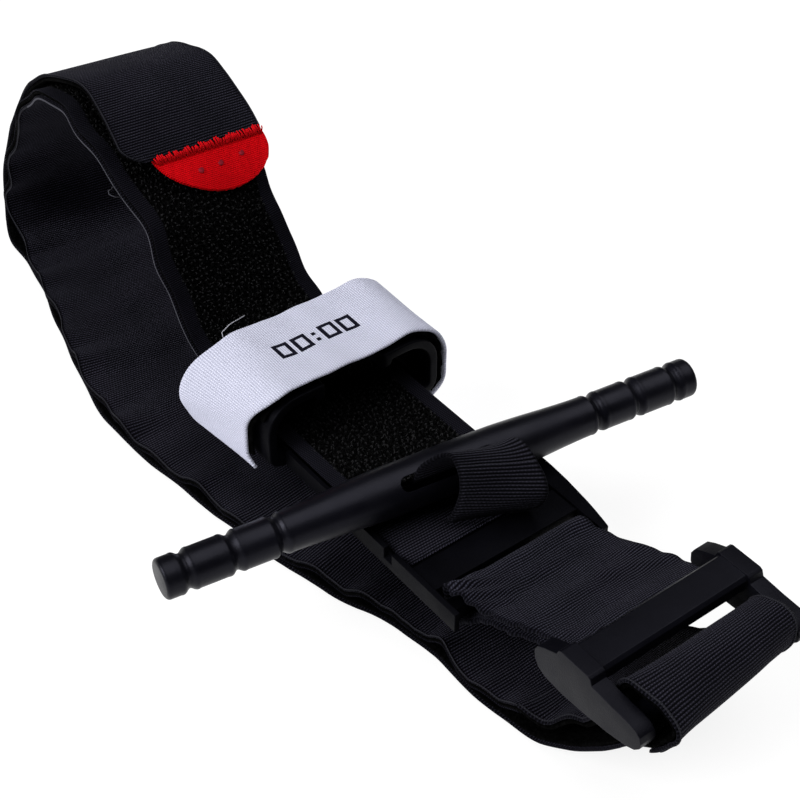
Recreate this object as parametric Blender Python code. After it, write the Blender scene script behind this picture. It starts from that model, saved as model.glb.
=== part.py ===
"""Windlass tourniquet: a hook-and-loop band closed in a loop, with a windlass rod, its clip, a time
strap and a slide buckle.

Lengths are in millimetres and turn into metres when a mesh is made. +X runs along the band towards
the buckle, +Y along the rod and +Z up from the table that the loop lies on. The origin is on the
table, straight under the middle of the rod.
"""

import math

import bmesh
import bpy
import numpy as np
from mathutils import Matrix, Vector

MM = 0.001
GAP = 0.3  # air between two pieces that touch on the real object

# ---- the band: one strip of two plies, sewn along both edges ----
BAND_WIDTH = 38.0
SKIN = 0.7  # ribbed nylon ply
CORE = 0.5  # tension strap inside the standing band
PILE = 0.9  # hook-and-loop ply
PLY_STACK = SKIN + GAP + CORE + GAP + PILE
RUNNING_STACK = SKIN + GAP + PILE
LOWER_RUN_Z = PLY_STACK + GAP + RUNNING_STACK  # limb face of the lower run, above the table
CORE_WIDTH = 25.0
PILE_START = 19.0  # the rod lies over the skin alone, this far from the band's end
SEAM_INSET = 1.5  # thread line, from the band's edge
SEAM_THREAD = 0.4

# ---- stabilizer plate and windlass clip ----
DECK_Y = 0.9  # the plate, clip and upper band share this middle line
DECK_TOP = 19.6
DECK_UNDERSIDE = 17.6
RAIL_TOP = 22.6
RAIL_THICK = 1.4
FAR_FLANGE = 3.4  # how far the far rail's flange stands out at the frame, tapering to the end
PLATE_WIDTH = 43.0
PLATE_START_X = -32.6
PLATE_END_X = 31.0
NECK_WIDTH = 41.0  # the deck under the band, between the clip and the rod
FRAME_START_X = -8.0  # where the plate widens into its frame
RAIL_NOTCH = (6.4, 9.2)
STRAP_SLOT = (-4.6, 3.4)  # the tension strap comes up here, under the rod
CROSS_BAR_START = 14.4
CROSS_BAR_END = 22.4
END_BAR_HALF = 1.7
CLIP_X = (-58.4, -33.0)
CLIP_WALL = 2.4
CLIP_HALF_WIDTH = 24.6  # outside of a hook
CLIP_TOP = 35.7
CLIP_CORNER = 2.5  # middle of the wall, at the foot of a hook
CLIP_SHOULDER = 7.5  # middle of the wall, at the top of a hook
CLIP_TIP_Y = 8.5
TIME_STRAP_X = (-58.4, -33.4)
TIME_STRAP_THICK = 0.9
LINING_THICK = 0.8
PAD_THICK = 0.6

# ---- windlass rod ----
ROD_LENGTH = 134.6
ROD_MIDDLE_R = 5.85
ROD_END_R = 4.65
ROD_Z = 28.7
ROD_YAW = math.radians(8.4)
ROD_GROOVES = (40.4, 51.0, 61.9)  # from the middle, both ways
GROOVE_HALF = 1.1
GROOVE_DEPTH = 0.75
SLOT_LENGTH = 24.0
SLOT_WIDTH = 3.6
SLOT_TILT = math.radians(48.0)  # the slot's exit looks up and towards the buckle
TENSION_WIDTH = 19.5
TENSION_THICK = 1.0

# ---- tether and buckle ----
END_BAR = (27.4, 19.9)  # x and z of the plate's end bar
TETHER_WIDTH = 37.0
TETHER_THICK = 1.2
TETHER_DRIFT = 0.75  # it has shifted across to the buckle's middle line by this share of its run
INNER_BAR = (57.0, 25.6)  # x and z of the buckle bar that the tether goes round
INNER_BAR_R = 2.0
OUTER_BAR = (76.2, 27.8)
OUTER_BAR_R = 2.6
BUCKLE_Y = 7.2
BUCKLE_WIDTH = 47.6
CHEEK_THICK = 4.0
CROSS_BAR_X = (58.2, 66.8)
CROSS_BAR_Z = (30.3, 33.8)

# ---- band path on the ribbed face: x, y, z, yaw and roll of the width, in degrees ----
UPPER_RUN = [
    (12.3, DECK_Y, DECK_TOP + GAP, 0, 0),
    (-6, DECK_Y, DECK_TOP + GAP, 0, 0),
    (-34, DECK_Y, DECK_TOP + GAP, 0, 0),
    (-58, DECK_Y, DECK_TOP + GAP, 0, 0),
    (-68, 0.9, 20.4, 2, 0),
    (-77, 1.0, 23.8, 4, 0),
    (-84.5, 1.2, 31.2, 6, 0),
    (-91, 1.4, 40.2, 7, 0),
    (-98.5, 1.6, 48, 6, 0),
    (-108, 1.8, 53, 4, 2),
    (-120, 2.0, 57.2, 2, 3),
]
LEFT_ARCH = [
    (-132, 2.0, 61.2, 0, 4),
    (-143, 1.8, 60, 0, 4),
    (-153.5, 1.4, 52.5, 0, 3),
    (-161.5, 1.0, 40.5, 0, 2),
    (-167.5, 0.5, 27, -3, 0),
    (-170, 0.0, 15, -7, 0),
    (-166, -0.6, 7.6, -9, 0),
]
LOWER_RUN = [
    (-156, -2.6, LOWER_RUN_Z, -11, 0),
    (-135, -7.2, LOWER_RUN_Z, -13, 0),
    (-113, -13.2, LOWER_RUN_Z, -12, 0),
    (-94, -17.2, LOWER_RUN_Z, -7, 0),
    (-78, -18.2, LOWER_RUN_Z, 0, 0),
    (-62, -16.4, LOWER_RUN_Z, 6, 0),
    (-45, -14.2, LOWER_RUN_Z, 6, 0),
    (-28, -12.0, LOWER_RUN_Z, 9, 0),
    (-12, -8.0, LOWER_RUN_Z, 13, 0),
    (3, -3.2, LOWER_RUN_Z, 12, 0),
    (16, -0.4, LOWER_RUN_Z, 6, 0),
    (27, 0.2, LOWER_RUN_Z, 1, 0),
]
CLIMB = [
    (38, 0.2, 5.3, 1, 0),
    (48, 1.2, 6.6, 4, 0),
    (57, 3.6, 10.8, 5, 0),
    (64, 6.2, 17.8, 2, 0),
    (68.2, BUCKLE_Y, 25, 0, 0),
]
BUCKLE_WRAP = [
    (70.2, BUCKLE_Y, 31, 1, 0),
    (74, BUCKLE_Y, 34.8, 2, 0),
    (78.6, BUCKLE_Y, 35.6, 4, 0),
    (82.2, BUCKLE_Y, 33.2, 5, 0),
    (83.4, BUCKLE_Y, 29.2, 5, 0),
    (82.2, BUCKLE_Y, 25.4, 5, 0),
    (79.2, BUCKLE_Y, 22.2, 4, 0),
]
DESCENT = [
    (74.4, 6.8, 17.6, 2, 0),
    (68, 5.6, 11.0, 3, 0),
    (60.5, 3.8, 4.8, 4, 0),
    (52, 2.0, 0.8, 4, 0),
    (42, 0.6, 0.0, 3, 0),
]
OUTER_ARCH = [
    (-170.5, -1.0, 1.8, -9, 0),
    (-175.4, 0.6, 10, -7, 0),
    (-173.8, 2.0, 27, -3, 0),
    (-167.5, 3.5, 42.0, 0, 2),
    (-159, 4.1, 54.6, 0, 3),
    (-148, 4.4, 63.4, 0, 5),
    (-137, 4.6, 68.4, 0, 6),
    (-126, 5.0, 70.2, 1, 7),
]
FREE_END = [
    (-117.5, 4.9, 68.0, 2, 6),
    (-110.5, 4.4, 64.2, 0, 4),
    (-103.2, 3.8, 59.4, -3, 2),
]
TIP_LENGTH = 12.0  # how far the red tab stands out past the free end
TAB_LAP = 1.5  # how far it goes under the free end
TAB_THICK = 0.9

BLACK_FABRIC = ((0.012, 0.012, 0.018), 0.85)
BLACK_PILE = ((0.008, 0.008, 0.010), 0.95)
BLACK_PLASTIC = ((0.018, 0.018, 0.022), 0.45)
WHITE_FABRIC = ((0.78, 0.78, 0.84), 0.85)
RED_FABRIC = ((0.60, 0.01, 0.015), 0.75)
BLACK_THREAD = ((0.015, 0.015, 0.02), 0.8)


def clear_scene():
    """Remove every object that the opened scene holds."""
    for item in list(bpy.data.objects):
        bpy.data.objects.remove(item)


def make_material(name, finish):
    """A Principled material of the given colour and roughness."""
    colour, roughness = finish
    material = bpy.data.materials.new(name)
    material.use_nodes = True
    shader = material.node_tree.nodes["Principled BSDF"]
    shader.inputs["Base Color"].default_value = (*colour, 1.0)
    shader.inputs["Roughness"].default_value = roughness
    material.diffuse_color = (*colour, 1.0)
    return material


def add_object(name, bm, finish, smooth=False):
    """Turn a bmesh in millimetres into a named object in metres, with its own material."""
    bmesh.ops.recalc_face_normals(bm, faces=bm.faces)
    bmesh.ops.scale(bm, vec=Vector((MM, MM, MM)), verts=bm.verts)
    mesh = bpy.data.meshes.new(name)
    bm.to_mesh(mesh)
    bm.free()
    if smooth:
        mesh.shade_smooth()
        mesh.set_sharp_from_angle(angle=math.radians(35))
    mesh.materials.append(make_material(name, finish))
    item = bpy.data.objects.new(name, mesh)
    bpy.context.scene.collection.objects.link(item)
    return item


def add_pivot(name, place):
    """An empty on a joint's axis, for the pieces that move about it."""
    pivot = bpy.data.objects.new(name, None)
    pivot.location = Vector(place) * MM
    pivot.empty_display_size = 0.01
    bpy.context.scene.collection.objects.link(pivot)
    return pivot


def hang(item, pivot):
    """Parent an item that was modelled in place to a pivot, without moving it."""
    item.parent = pivot
    item.matrix_parent_inverse = Matrix.Translation(pivot.location).inverted()


# ---------------------------------------------------------------- strips of webbing
def smooth_path(points, step=0.5):
    """A dense curve through the points: Catmull-Rom with chord-length knots, in any dimension."""
    pts = np.array(points, float)
    first = 2 * pts[0] - pts[1]
    last = 2 * pts[-1] - pts[-2]
    pts = np.vstack([first, pts, last])
    out = []
    for i in range(1, len(pts) - 2):
        p0, p1, p2, p3 = pts[i - 1 : i + 3]
        t0, t1, t2 = (max(np.linalg.norm(b[:3] - a[:3]), 1e-6) for a, b in ((p0, p1), (p1, p2), (p2, p3)))
        m1 = t1 * ((p1 - p0) / t0 - (p2 - p0) / (t0 + t1) + (p2 - p1) / t1)
        m2 = t1 * ((p2 - p1) / t1 - (p3 - p1) / (t1 + t2) + (p3 - p2) / t2)
        for u in np.linspace(0, 1, max(int(t1 / step), 2), endpoint=False):
            a = (1 + 2 * u) * (1 - u) ** 2
            b = u * (1 - u) ** 2
            c = u * u * (3 - 2 * u)
            d = u * u * (u - 1)
            out.append(a * p1 + b * m1 + c * p2 + d * m2)
    out.append(pts[-2])
    return np.array(out)


class Strip:
    """Stations along a strip of webbing: a point, a width direction and a normal at each."""

    def __init__(self, dense, width_of, max_turn=math.radians(9), max_step=11.0):
        places = dense[:, :3]
        run = np.concatenate([[0], np.cumsum(np.linalg.norm(np.diff(places, axis=0), axis=1))])
        tangents = np.gradient(places, axis=0)
        tangents /= np.linalg.norm(tangents, axis=1)[:, None]
        keep = [0]
        for i in range(1, len(dense)):
            turned = math.acos(min(1.0, float(tangents[i] @ tangents[keep[-1]])))
            if turned > max_turn or run[i] - run[keep[-1]] > max_step:
                keep.append(i)
        if keep[-1] != len(dense) - 1:
            keep.append(len(dense) - 1)
        self.dense, self.run, self.tangents, self.width_of = dense, run, tangents, width_of
        self.stops = run[keep]

    @property
    def length(self):
        return self.run[-1]

    def at(self, s):
        """Point, width direction and normal at arclength s."""
        row = np.array([np.interp(s, self.run, self.dense[:, k]) for k in range(self.dense.shape[1])])
        tangent = np.array([np.interp(s, self.run, self.tangents[:, k]) for k in range(3)])
        wide = self.width_of(row)
        normal = np.cross(wide, tangent)
        return row[:3], wide, normal / np.linalg.norm(normal)

    def nearest(self, x, z, low=0.0, high=None):
        """Arclength of the place nearest to (x, z) within a stretch of the strip."""
        high = self.length if high is None else high
        inside = (self.run >= low) & (self.run <= high)
        away = np.hypot(self.dense[:, 0] - x, self.dense[:, 2] - z)
        away[~inside] = np.inf
        return self.run[int(np.argmin(away))]


def strip_mesh(strip, start, end, width, low, high, middle=0.0):
    """A closed strip from arclength start to end, between two heights off the path's face."""
    cuts = [start] + [s for s in strip.stops if start + 1.0 < s < end - 1.0] + [end]
    bm = bmesh.new()
    rings = []
    for s in cuts:
        place, wide, normal = strip.at(s)
        corners = ((-0.5, low), (0.5, low), (0.5, high), (-0.5, high))
        rings.append([bm.verts.new(place + wide * (middle + a * width) + normal * h) for a, h in corners])
    # The broad faces are split along the same diagonal, so that plies stay parallel where they twist.
    for one, two in zip(rings, rings[1:]):
        bm.faces.new((one[0], one[1], two[1]))
        bm.faces.new((one[0], two[1], two[0]))
        bm.faces.new((one[3], two[3], two[2]))
        bm.faces.new((one[3], two[2], one[2]))
        bm.faces.new((one[1], one[2], two[2], two[1]))
        bm.faces.new((one[3], one[0], two[0], two[3]))
    bm.faces.new(rings[0][::-1])
    bm.faces.new(rings[-1])
    return bm


def turned_width(row):
    """Width direction: +Y turned by the row's yaw, with the far edge dropped by its roll."""
    yaw, roll = math.radians(row[3]), math.radians(row[4])
    return np.array([-math.sin(yaw) * math.cos(roll), math.cos(yaw) * math.cos(roll), -math.sin(roll)])


def band_strip():
    """The whole band as one path: plate, left arch, lower run, round the buckle, and back."""
    standing = UPPER_RUN + LEFT_ARCH + LOWER_RUN
    under = [(x, y, 0.0, yaw, roll) for x, y, _, yaw, roll in reversed(LOWER_RUN)]
    running = BUCKLE_WRAP + DESCENT + under + OUTER_ARCH + FREE_END
    dense = smooth_path(standing + CLIMB + running)
    turn = int(np.argmax(dense[:, 0]))  # round the buckle's outer bar
    dense[:turn, 2] = np.maximum(dense[:turn, 2], LOWER_RUN_Z)
    dense[turn:, 2] = np.maximum(dense[turn:, 2], 0.0)
    return Strip(dense, turned_width)


def band_cuts(strip):
    """Arclengths where the band passes from one moving body to the next."""
    wrap_in = strip.nearest(*CLIMB[-1][:3:2])
    wrap_out = strip.nearest(*DESCENT[0][:3:2], low=wrap_in)
    peel = strip.nearest(*OUTER_ARCH[-1][:3:2], low=wrap_out)
    return wrap_in, wrap_out, peel


def build_band():
    """Skins and piles of the standing band, the buckle wrap, the running end and the free end."""
    strip = band_strip()
    wrap_in, wrap_out, peel = band_cuts(strip)
    cut = 0.5
    skin = (0.0, SKIN)
    standing_pile = (PLY_STACK - PILE, PLY_STACK)
    pile = (SKIN + GAP, RUNNING_STACK)
    plies = [
        ("standing_band_skin", 0.0, wrap_in - cut, skin, BLACK_FABRIC),
        ("standing_band_pile", PILE_START, wrap_in - cut, standing_pile, BLACK_PILE),
        ("buckle_wrap_skin", wrap_in + cut, wrap_out - cut, skin, BLACK_FABRIC),
        ("buckle_wrap_pile", wrap_in + cut, wrap_out - cut, pile, BLACK_PILE),
        ("running_end_skin", wrap_out + cut, peel - cut, skin, BLACK_FABRIC),
        ("running_end_pile", wrap_out + cut, peel - cut, pile, BLACK_PILE),
        ("free_end_skin", peel + cut, strip.length, skin, BLACK_FABRIC),
        ("free_end_pile", peel + cut, strip.length, pile, BLACK_PILE),
    ]
    made = {}
    for name, start, end, (low, high), finish in plies:
        made[name] = add_object(name, strip_mesh(strip, start, end, BAND_WIDTH, low, high), finish)

    core_low = SKIN + GAP
    core = strip_mesh(strip, PILE_START, wrap_in - 8.0, CORE_WIDTH, core_low, core_low + CORE)
    add_object("tension_strap_core", core, BLACK_FABRIC)

    for name, side in (("edge_seam_near", -1), ("edge_seam_far", 1)):
        middle = side * (BAND_WIDTH / 2 - SEAM_INSET)
        clip_end = strip.nearest(CLIP_X[0] - 4, DECK_TOP)
        thread = strip_mesh(strip, clip_end, wrap_in - 6.0, 0.8, -GAP - SEAM_THREAD, -GAP, middle)
        add_object(name, thread, BLACK_THREAD)
    return made, strip, peel


def build_tip_tab(strip, pivot):
    """The red half-round tab under the free end, and the thread that fastens it."""
    place, wide, normal = strip.at(strip.length)
    tangent = np.cross(normal, wide)
    half = BAND_WIDTH / 2 - 0.5
    low = RUNNING_STACK + GAP
    high = low + TAB_THICK
    outline = [(-half, -TAB_LAP), (half, -TAB_LAP)]
    for i in range(13):
        turn = math.pi * i / 12
        outline.append((half * math.cos(turn), TIP_LENGTH * math.sin(turn)))
    bm = bmesh.new()
    under = [bm.verts.new(place + wide * a + tangent * b + normal * low) for a, b in outline]
    over = [bm.verts.new(place + wide * a + tangent * b + normal * high) for a, b in outline]
    bm.faces.new(under[::-1])
    bm.faces.new(over)
    count = len(outline)
    for k in range(count):
        n = (k + 1) % count
        bm.faces.new((under[k], under[n], over[n], over[k]))
    hang(add_object("tip_tab", bm, RED_FABRIC), pivot)


# ---------------------------------------------------------------- plate and clip
def cells_mesh(xs, ys, zs, filled):
    """A closed solid on a grid of cells: the faces between filled and empty cells."""
    bm = bmesh.new()
    verts = {}

    def vert(i, j, k):
        if (i, j, k) not in verts:
            verts[i, j, k] = bm.verts.new((xs[i], ys[j], zs[k]))
        return verts[i, j, k]

    def is_full(i, j, k):
        inside = 0 <= i < len(xs) - 1 and 0 <= j < len(ys) - 1 and 0 <= k < len(zs) - 1
        return inside and filled((xs[i] + xs[i + 1]) / 2, (ys[j] + ys[j + 1]) / 2, (zs[k] + zs[k + 1]) / 2)

    sides = {
        (-1, 0, 0): ((0, 0, 0), (0, 0, 1), (0, 1, 1), (0, 1, 0)),
        (1, 0, 0): ((1, 0, 0), (1, 1, 0), (1, 1, 1), (1, 0, 1)),
        (0, -1, 0): ((0, 0, 0), (1, 0, 0), (1, 0, 1), (0, 0, 1)),
        (0, 1, 0): ((0, 1, 0), (0, 1, 1), (1, 1, 1), (1, 1, 0)),
        (0, 0, -1): ((0, 0, 0), (0, 1, 0), (1, 1, 0), (1, 0, 0)),
        (0, 0, 1): ((0, 0, 1), (1, 0, 1), (1, 1, 1), (0, 1, 1)),
    }
    for i in range(len(xs) - 1):
        for j in range(len(ys) - 1):
            for k in range(len(zs) - 1):
                if not is_full(i, j, k):
                    continue
                for (di, dj, dk), corners in sides.items():
                    if not is_full(i + di, j + dj, k + dk):
                        bm.faces.new([vert(i + a, j + b, k + c) for a, b, c in corners])
    return bm


def build_plate():
    """The stabilizer plate: a narrow deck for the band, then a wider frame with two rails.

    The frame holds the slot that the tension strap comes up through, a cross bar, the tether's
    slot and the end bar.
    """
    near, far = DECK_Y - PLATE_WIDTH / 2, DECK_Y + PLATE_WIDTH / 2
    inner_near, inner_far = near + RAIL_THICK, far - RAIL_THICK
    neck_near, neck_far = DECK_Y - NECK_WIDTH / 2, DECK_Y + NECK_WIDTH / 2
    neck_rail = neck_near + 1.1
    strap_near, strap_far = DECK_Y - TENSION_WIDTH / 2 - 1.0, DECK_Y + TENSION_WIDTH / 2 + 1.5
    bar_start, bar_end = END_BAR[0] - END_BAR_HALF, END_BAR[0] + END_BAR_HALF
    bar_low, bar_top = END_BAR[1] - END_BAR_HALF, END_BAR[1] + END_BAR_HALF
    ridge_top = RAIL_TOP - 0.6

    def filled(x, y, z):
        if y > far:
            return FRAME_START_X < x and z > DECK_TOP
        if x < FRAME_START_X:
            inside = neck_near < y < neck_far
            return inside and (z < DECK_TOP or (y < neck_rail and z < ridge_top))
        if y < inner_near or y > inner_far:
            return not (RAIL_NOTCH[0] < x < RAIL_NOTCH[1] and z > DECK_TOP)
        if x > CROSS_BAR_END:
            return bar_start < x < bar_end and bar_low < z < bar_top
        if x > CROSS_BAR_START:
            return z < ridge_top
        in_strap_slot = STRAP_SLOT[0] < x < STRAP_SLOT[1] and strap_near < y < strap_far
        return z < DECK_TOP and not in_strap_slot

    xs = [PLATE_START_X, FRAME_START_X, *STRAP_SLOT, *RAIL_NOTCH, CROSS_BAR_START, CROSS_BAR_END]
    xs += [bar_start, bar_end, PLATE_END_X]
    ys = [near, inner_near, neck_near, neck_rail, strap_near, strap_far, neck_far, inner_far, far]
    ys.append(far + FAR_FLANGE)
    zs = [DECK_UNDERSIDE, bar_low, DECK_TOP, ridge_top, bar_top, RAIL_TOP]
    mesh = cells_mesh(sorted(xs), sorted(ys), sorted(zs), filled)
    for vert in mesh.verts:
        if vert.co.y > far + 1.0:
            share = min(max((vert.co.x - STRAP_SLOT[1]) / (PLATE_END_X - STRAP_SLOT[1]), 0.0), 1.0)
            vert.co.y = far + FAR_FLANGE + (0.3 - FAR_FLANGE) * share**2
    return add_object("stabilizer_plate", mesh, BLACK_PLASTIC)


def arc(centre, radius, start, end, steps):
    """Points on an arc in a plane, from one angle to another, in degrees."""
    turns = np.radians(np.linspace(start, end, steps + 1))
    return [(centre[0] + radius * math.cos(t), centre[1] + radius * math.sin(t)) for t in turns]


def clip_outline(offset, tip_y, foot_angle=None):
    """Half of the clip's section in (y, z), offset outwards from the middle of its wall.

    It runs from the foot of the near hook, round the foot's corner, up and over to the tip.
    With a foot angle it starts part of the way round the corner, that far from straight down.
    """
    wall_y = CLIP_HALF_WIDTH - CLIP_WALL / 2
    floor_z = DECK_TOP - CLIP_WALL / 2
    top_z = CLIP_TOP - CLIP_WALL / 2
    foot = (-wall_y + CLIP_CORNER, floor_z + CLIP_CORNER)
    shoulder = (-wall_y + CLIP_SHOULDER, top_z - CLIP_SHOULDER)
    points = []
    if foot_angle is None:
        points.append((0.0, floor_z - offset))
        foot_angle = 0.0
    points += arc(foot, CLIP_CORNER + offset, 270 - foot_angle, 180, 4)
    points += arc(shoulder, CLIP_SHOULDER + offset, 180, 90, 7)
    points.append((-tip_y, top_z + offset))
    return points


def extrude_outline(outline, x_range):
    """A prism of a closed (y, z) outline, between two values of x."""
    bm = bmesh.new()
    ends = [[bm.verts.new((x, y, z)) for y, z in outline] for x in x_range]
    bm.faces.new(ends[0])
    bm.faces.new(ends[1][::-1])
    count = len(outline)
    for k in range(count):
        n = (k + 1) % count
        bm.faces.new((ends[0][k], ends[1][k], ends[1][n], ends[0][n]))
    return bm


def mirrored(points):
    """The other half of an outline, across the middle line, in reverse order."""
    return [(-y, z) for y, z in reversed(points)]


def shifted(points):
    """An outline moved from its own middle line onto the deck's."""
    return [(y + DECK_Y, z) for y, z in points]


def build_clip():
    """The windlass clip: one moulding, a floor and two hooks that curve in over the rod's place."""
    half = CLIP_WALL / 2
    outer = clip_outline(half, CLIP_TIP_Y)[1:]
    inner = clip_outline(-half, CLIP_TIP_Y)[1:]
    lip = [(-CLIP_TIP_Y, CLIP_TOP - CLIP_WALL - 1.6), (-CLIP_TIP_Y - 1.8, CLIP_TOP - CLIP_WALL - 1.6)]
    lip.append((-CLIP_TIP_Y - 2.6, CLIP_TOP - CLIP_WALL))
    near = outer + lip + list(reversed(inner[:-1]))
    outline = near + mirrored(near)
    return add_object("windlass_clip", extrude_outline(shifted(outline), CLIP_X), BLACK_PLASTIC)


def build_hook_pads():
    """A patch of hook tape over the shoulder of each clip hook."""
    low = CLIP_WALL / 2 + GAP
    first = 8  # past the wall, part of the way up the shoulder
    outer = clip_outline(low + PAD_THICK, CLIP_TIP_Y + 3.0)[first:]
    inner = clip_outline(low, CLIP_TIP_Y + 3.0)[first:]
    near = outer + list(reversed(inner))
    pads = {"clip_hook_pad_near": near, "clip_hook_pad_far": mirrored(near)}
    pad_x = (CLIP_X[0] + 2.0, CLIP_X[1] - 2.0)
    for name, outline in pads.items():
        add_object(name, extrude_outline(shifted(outline), pad_x), BLACK_PILE)


def strap_ring(low, high, near_foot, far_foot):
    """Outline of a strap over both hooks, between two offsets, cut at a foot angle each side."""
    outline = []
    for offset, flip in ((high, False), (low, True)):
        near = clip_outline(offset, 0.0, near_foot)
        far = mirrored(clip_outline(offset, 0.0, far_foot))
        line = near + far[1:]
        outline += line[::-1] if flip else line
    return outline


def build_time_strap(pivot):
    """The white strap over the clip, its black hook lining, and the end sewn under the clip."""
    lining_low = CLIP_WALL / 2 + GAP + PAD_THICK + GAP
    strap_low = lining_low + LINING_THICK + GAP
    strap_high = strap_low + TIME_STRAP_THICK
    strap = extrude_outline(shifted(strap_ring(strap_low, strap_high, 62, 62)), TIME_STRAP_X)
    hang(add_object("time_strap", strap, WHITE_FABRIC), pivot)
    lining_x = (TIME_STRAP_X[0] + 0.6, TIME_STRAP_X[1] - 0.6)
    lining = strap_ring(lining_low, lining_low + LINING_THICK, 85, 62)
    hang(add_object("time_strap_lining", extrude_outline(shifted(lining), lining_x), BLACK_PILE), pivot)

    # The sewn end goes on round the far foot, from just past the peel line to under the floor.
    wall_y = CLIP_HALF_WIDTH - CLIP_WALL / 2
    foot = (wall_y - CLIP_CORNER, DECK_TOP - CLIP_WALL / 2 + CLIP_CORNER)
    outline = arc(foot, CLIP_CORNER + strap_high, 270, 325, 5)
    outline += arc(foot, CLIP_CORNER + strap_low, 325, 270, 5)
    floor_z = DECK_TOP - CLIP_WALL / 2
    outline += [(4.0, floor_z - strap_low), (4.0, floor_z - strap_high)]
    add_object("time_strap_anchor", extrude_outline(shifted(outline), TIME_STRAP_X), WHITE_FABRIC)


# ---------------------------------------------------------------- windlass rod
def rod_profile():
    """Half of the rod's turned profile: (distance from the middle, radius), middle to end."""
    half = ROD_LENGTH / 2
    points = [(0.0, ROD_MIDDLE_R), (14.0, ROD_MIDDLE_R)]
    for t, share in ((22.0, 0.18), (30.0, 0.55), (36.0, 0.85)):
        points.append((t, ROD_MIDDLE_R + (ROD_END_R - ROD_MIDDLE_R) * share))
    for middle in ROD_GROOVES:
        points.append((middle - GROOVE_HALF, ROD_END_R))
        points.append((middle - GROOVE_HALF / 2, ROD_END_R - GROOVE_DEPTH * 0.8))
        points.append((middle, ROD_END_R - GROOVE_DEPTH))
        points.append((middle + GROOVE_HALF / 2, ROD_END_R - GROOVE_DEPTH * 0.8))
        points.append((middle + GROOVE_HALF, ROD_END_R))
    points += [(half - 0.7, ROD_END_R), (half - 0.2, ROD_END_R - 0.25), (half, ROD_END_R - 0.75)]
    return points


def build_rod(pivot):
    """The turned rod, modelled along its own Z with a slot through its middle, then laid down."""
    half_profile = rod_profile()
    profile = [(-t, r) for t, r in reversed(half_profile[1:])] + half_profile
    sides = 24
    bm = bmesh.new()
    rings = []
    for t, r in profile:
        turns = [2 * math.pi * k / sides for k in range(sides)]
        rings.append([bm.verts.new((r * math.cos(a), r * math.sin(a), t)) for a in turns])
    for one, two in zip(rings, rings[1:]):
        for k in range(sides):
            n = (k + 1) % sides
            bm.faces.new((one[k], one[n], two[n], two[k]))
    bm.faces.new(rings[0][::-1])
    bm.faces.new(rings[-1])
    rod = add_object("windlass_rod", bm, BLACK_PLASTIC, smooth=True)

    # The cutter is a slot with rounded ends, through the rod along its own X.
    slot = bmesh.new()
    reach = ROD_MIDDLE_R + 2.0
    round_r = SLOT_WIDTH / 2
    flat = SLOT_LENGTH / 2 - round_r
    outline = arc((0.0, flat), round_r, 0, 180, 6) + arc((0.0, -flat), round_r, 180, 360, 6)
    ends = [[slot.verts.new((x, y, z)) for y, z in outline] for x in (-reach, reach)]
    slot.faces.new(ends[0])
    slot.faces.new(ends[1][::-1])
    for k in range(len(outline)):
        n = (k + 1) % len(outline)
        slot.faces.new((ends[0][k], ends[1][k], ends[1][n], ends[0][n]))
    cutter = add_object("slot_cutter", slot, BLACK_PLASTIC)
    cutter.hide_render = True
    cutter.display_type = "WIRE"

    # Own Z lies along the rod, own X along the slot's exit.
    along = Vector((math.sin(ROD_YAW), math.cos(ROD_YAW), 0.0))
    level = Vector((math.cos(ROD_YAW), -math.sin(ROD_YAW), 0.0))
    out = level * math.cos(SLOT_TILT) + Vector((0, 0, 1)) * math.sin(SLOT_TILT)
    side = along.cross(out)
    turn = Matrix((out, side, along)).transposed().to_4x4()
    for item in (rod, cutter):
        item.parent = pivot
        item.rotation_mode = "QUATERNION"
        item.rotation_quaternion = turn.to_quaternion()
    cut = rod.modifiers.new("slot", "BOOLEAN")
    cut.object = cutter
    cut.operation = "DIFFERENCE"
    cut.solver = "EXACT"


def build_tension_loop():
    """The tension strap's slack loop: up through the rod's slot, over, and back to the plate."""
    tilt, yaw = SLOT_TILT, ROD_YAW
    exit_dir = np.array([math.cos(yaw) * math.cos(tilt), -math.sin(yaw) * math.cos(tilt), math.sin(tilt)])
    middle = np.array([0.0, 1.5, ROD_Z + 0.2])
    rod_yaw = -math.degrees(yaw)
    under = middle - exit_dir * 7.4
    over = middle + exit_dir * 7.2 + np.array([0.0, 0.8, 0.0])
    points = [
        (*under, rod_yaw, 0),
        (*(middle - exit_dir * 3), rod_yaw, 0),
        (*middle, rod_yaw, 0),
        (*(middle + exit_dir * 4), rod_yaw, 0),
        (*over, rod_yaw - 2, 5),
        (8.4, 6.6, 36.8, -14, 14),
        (13.0, 6.6, 34.8, -25, 8),
        (15.8, 5.6, 30.0, -34, 2),
        (16.0, 4.6, 25.4, -32, 0),
        (14.6, 3.8, 22.9, -24, 0),
    ]
    strip = Strip(smooth_path(points, 0.3), turned_width, math.radians(14), 6.0)
    half = TENSION_THICK / 2
    mesh = strip_mesh(strip, 0.0, strip.length, TENSION_WIDTH, -half, half)
    return add_object("tension_strap_loop", mesh, BLACK_FABRIC)


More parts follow.
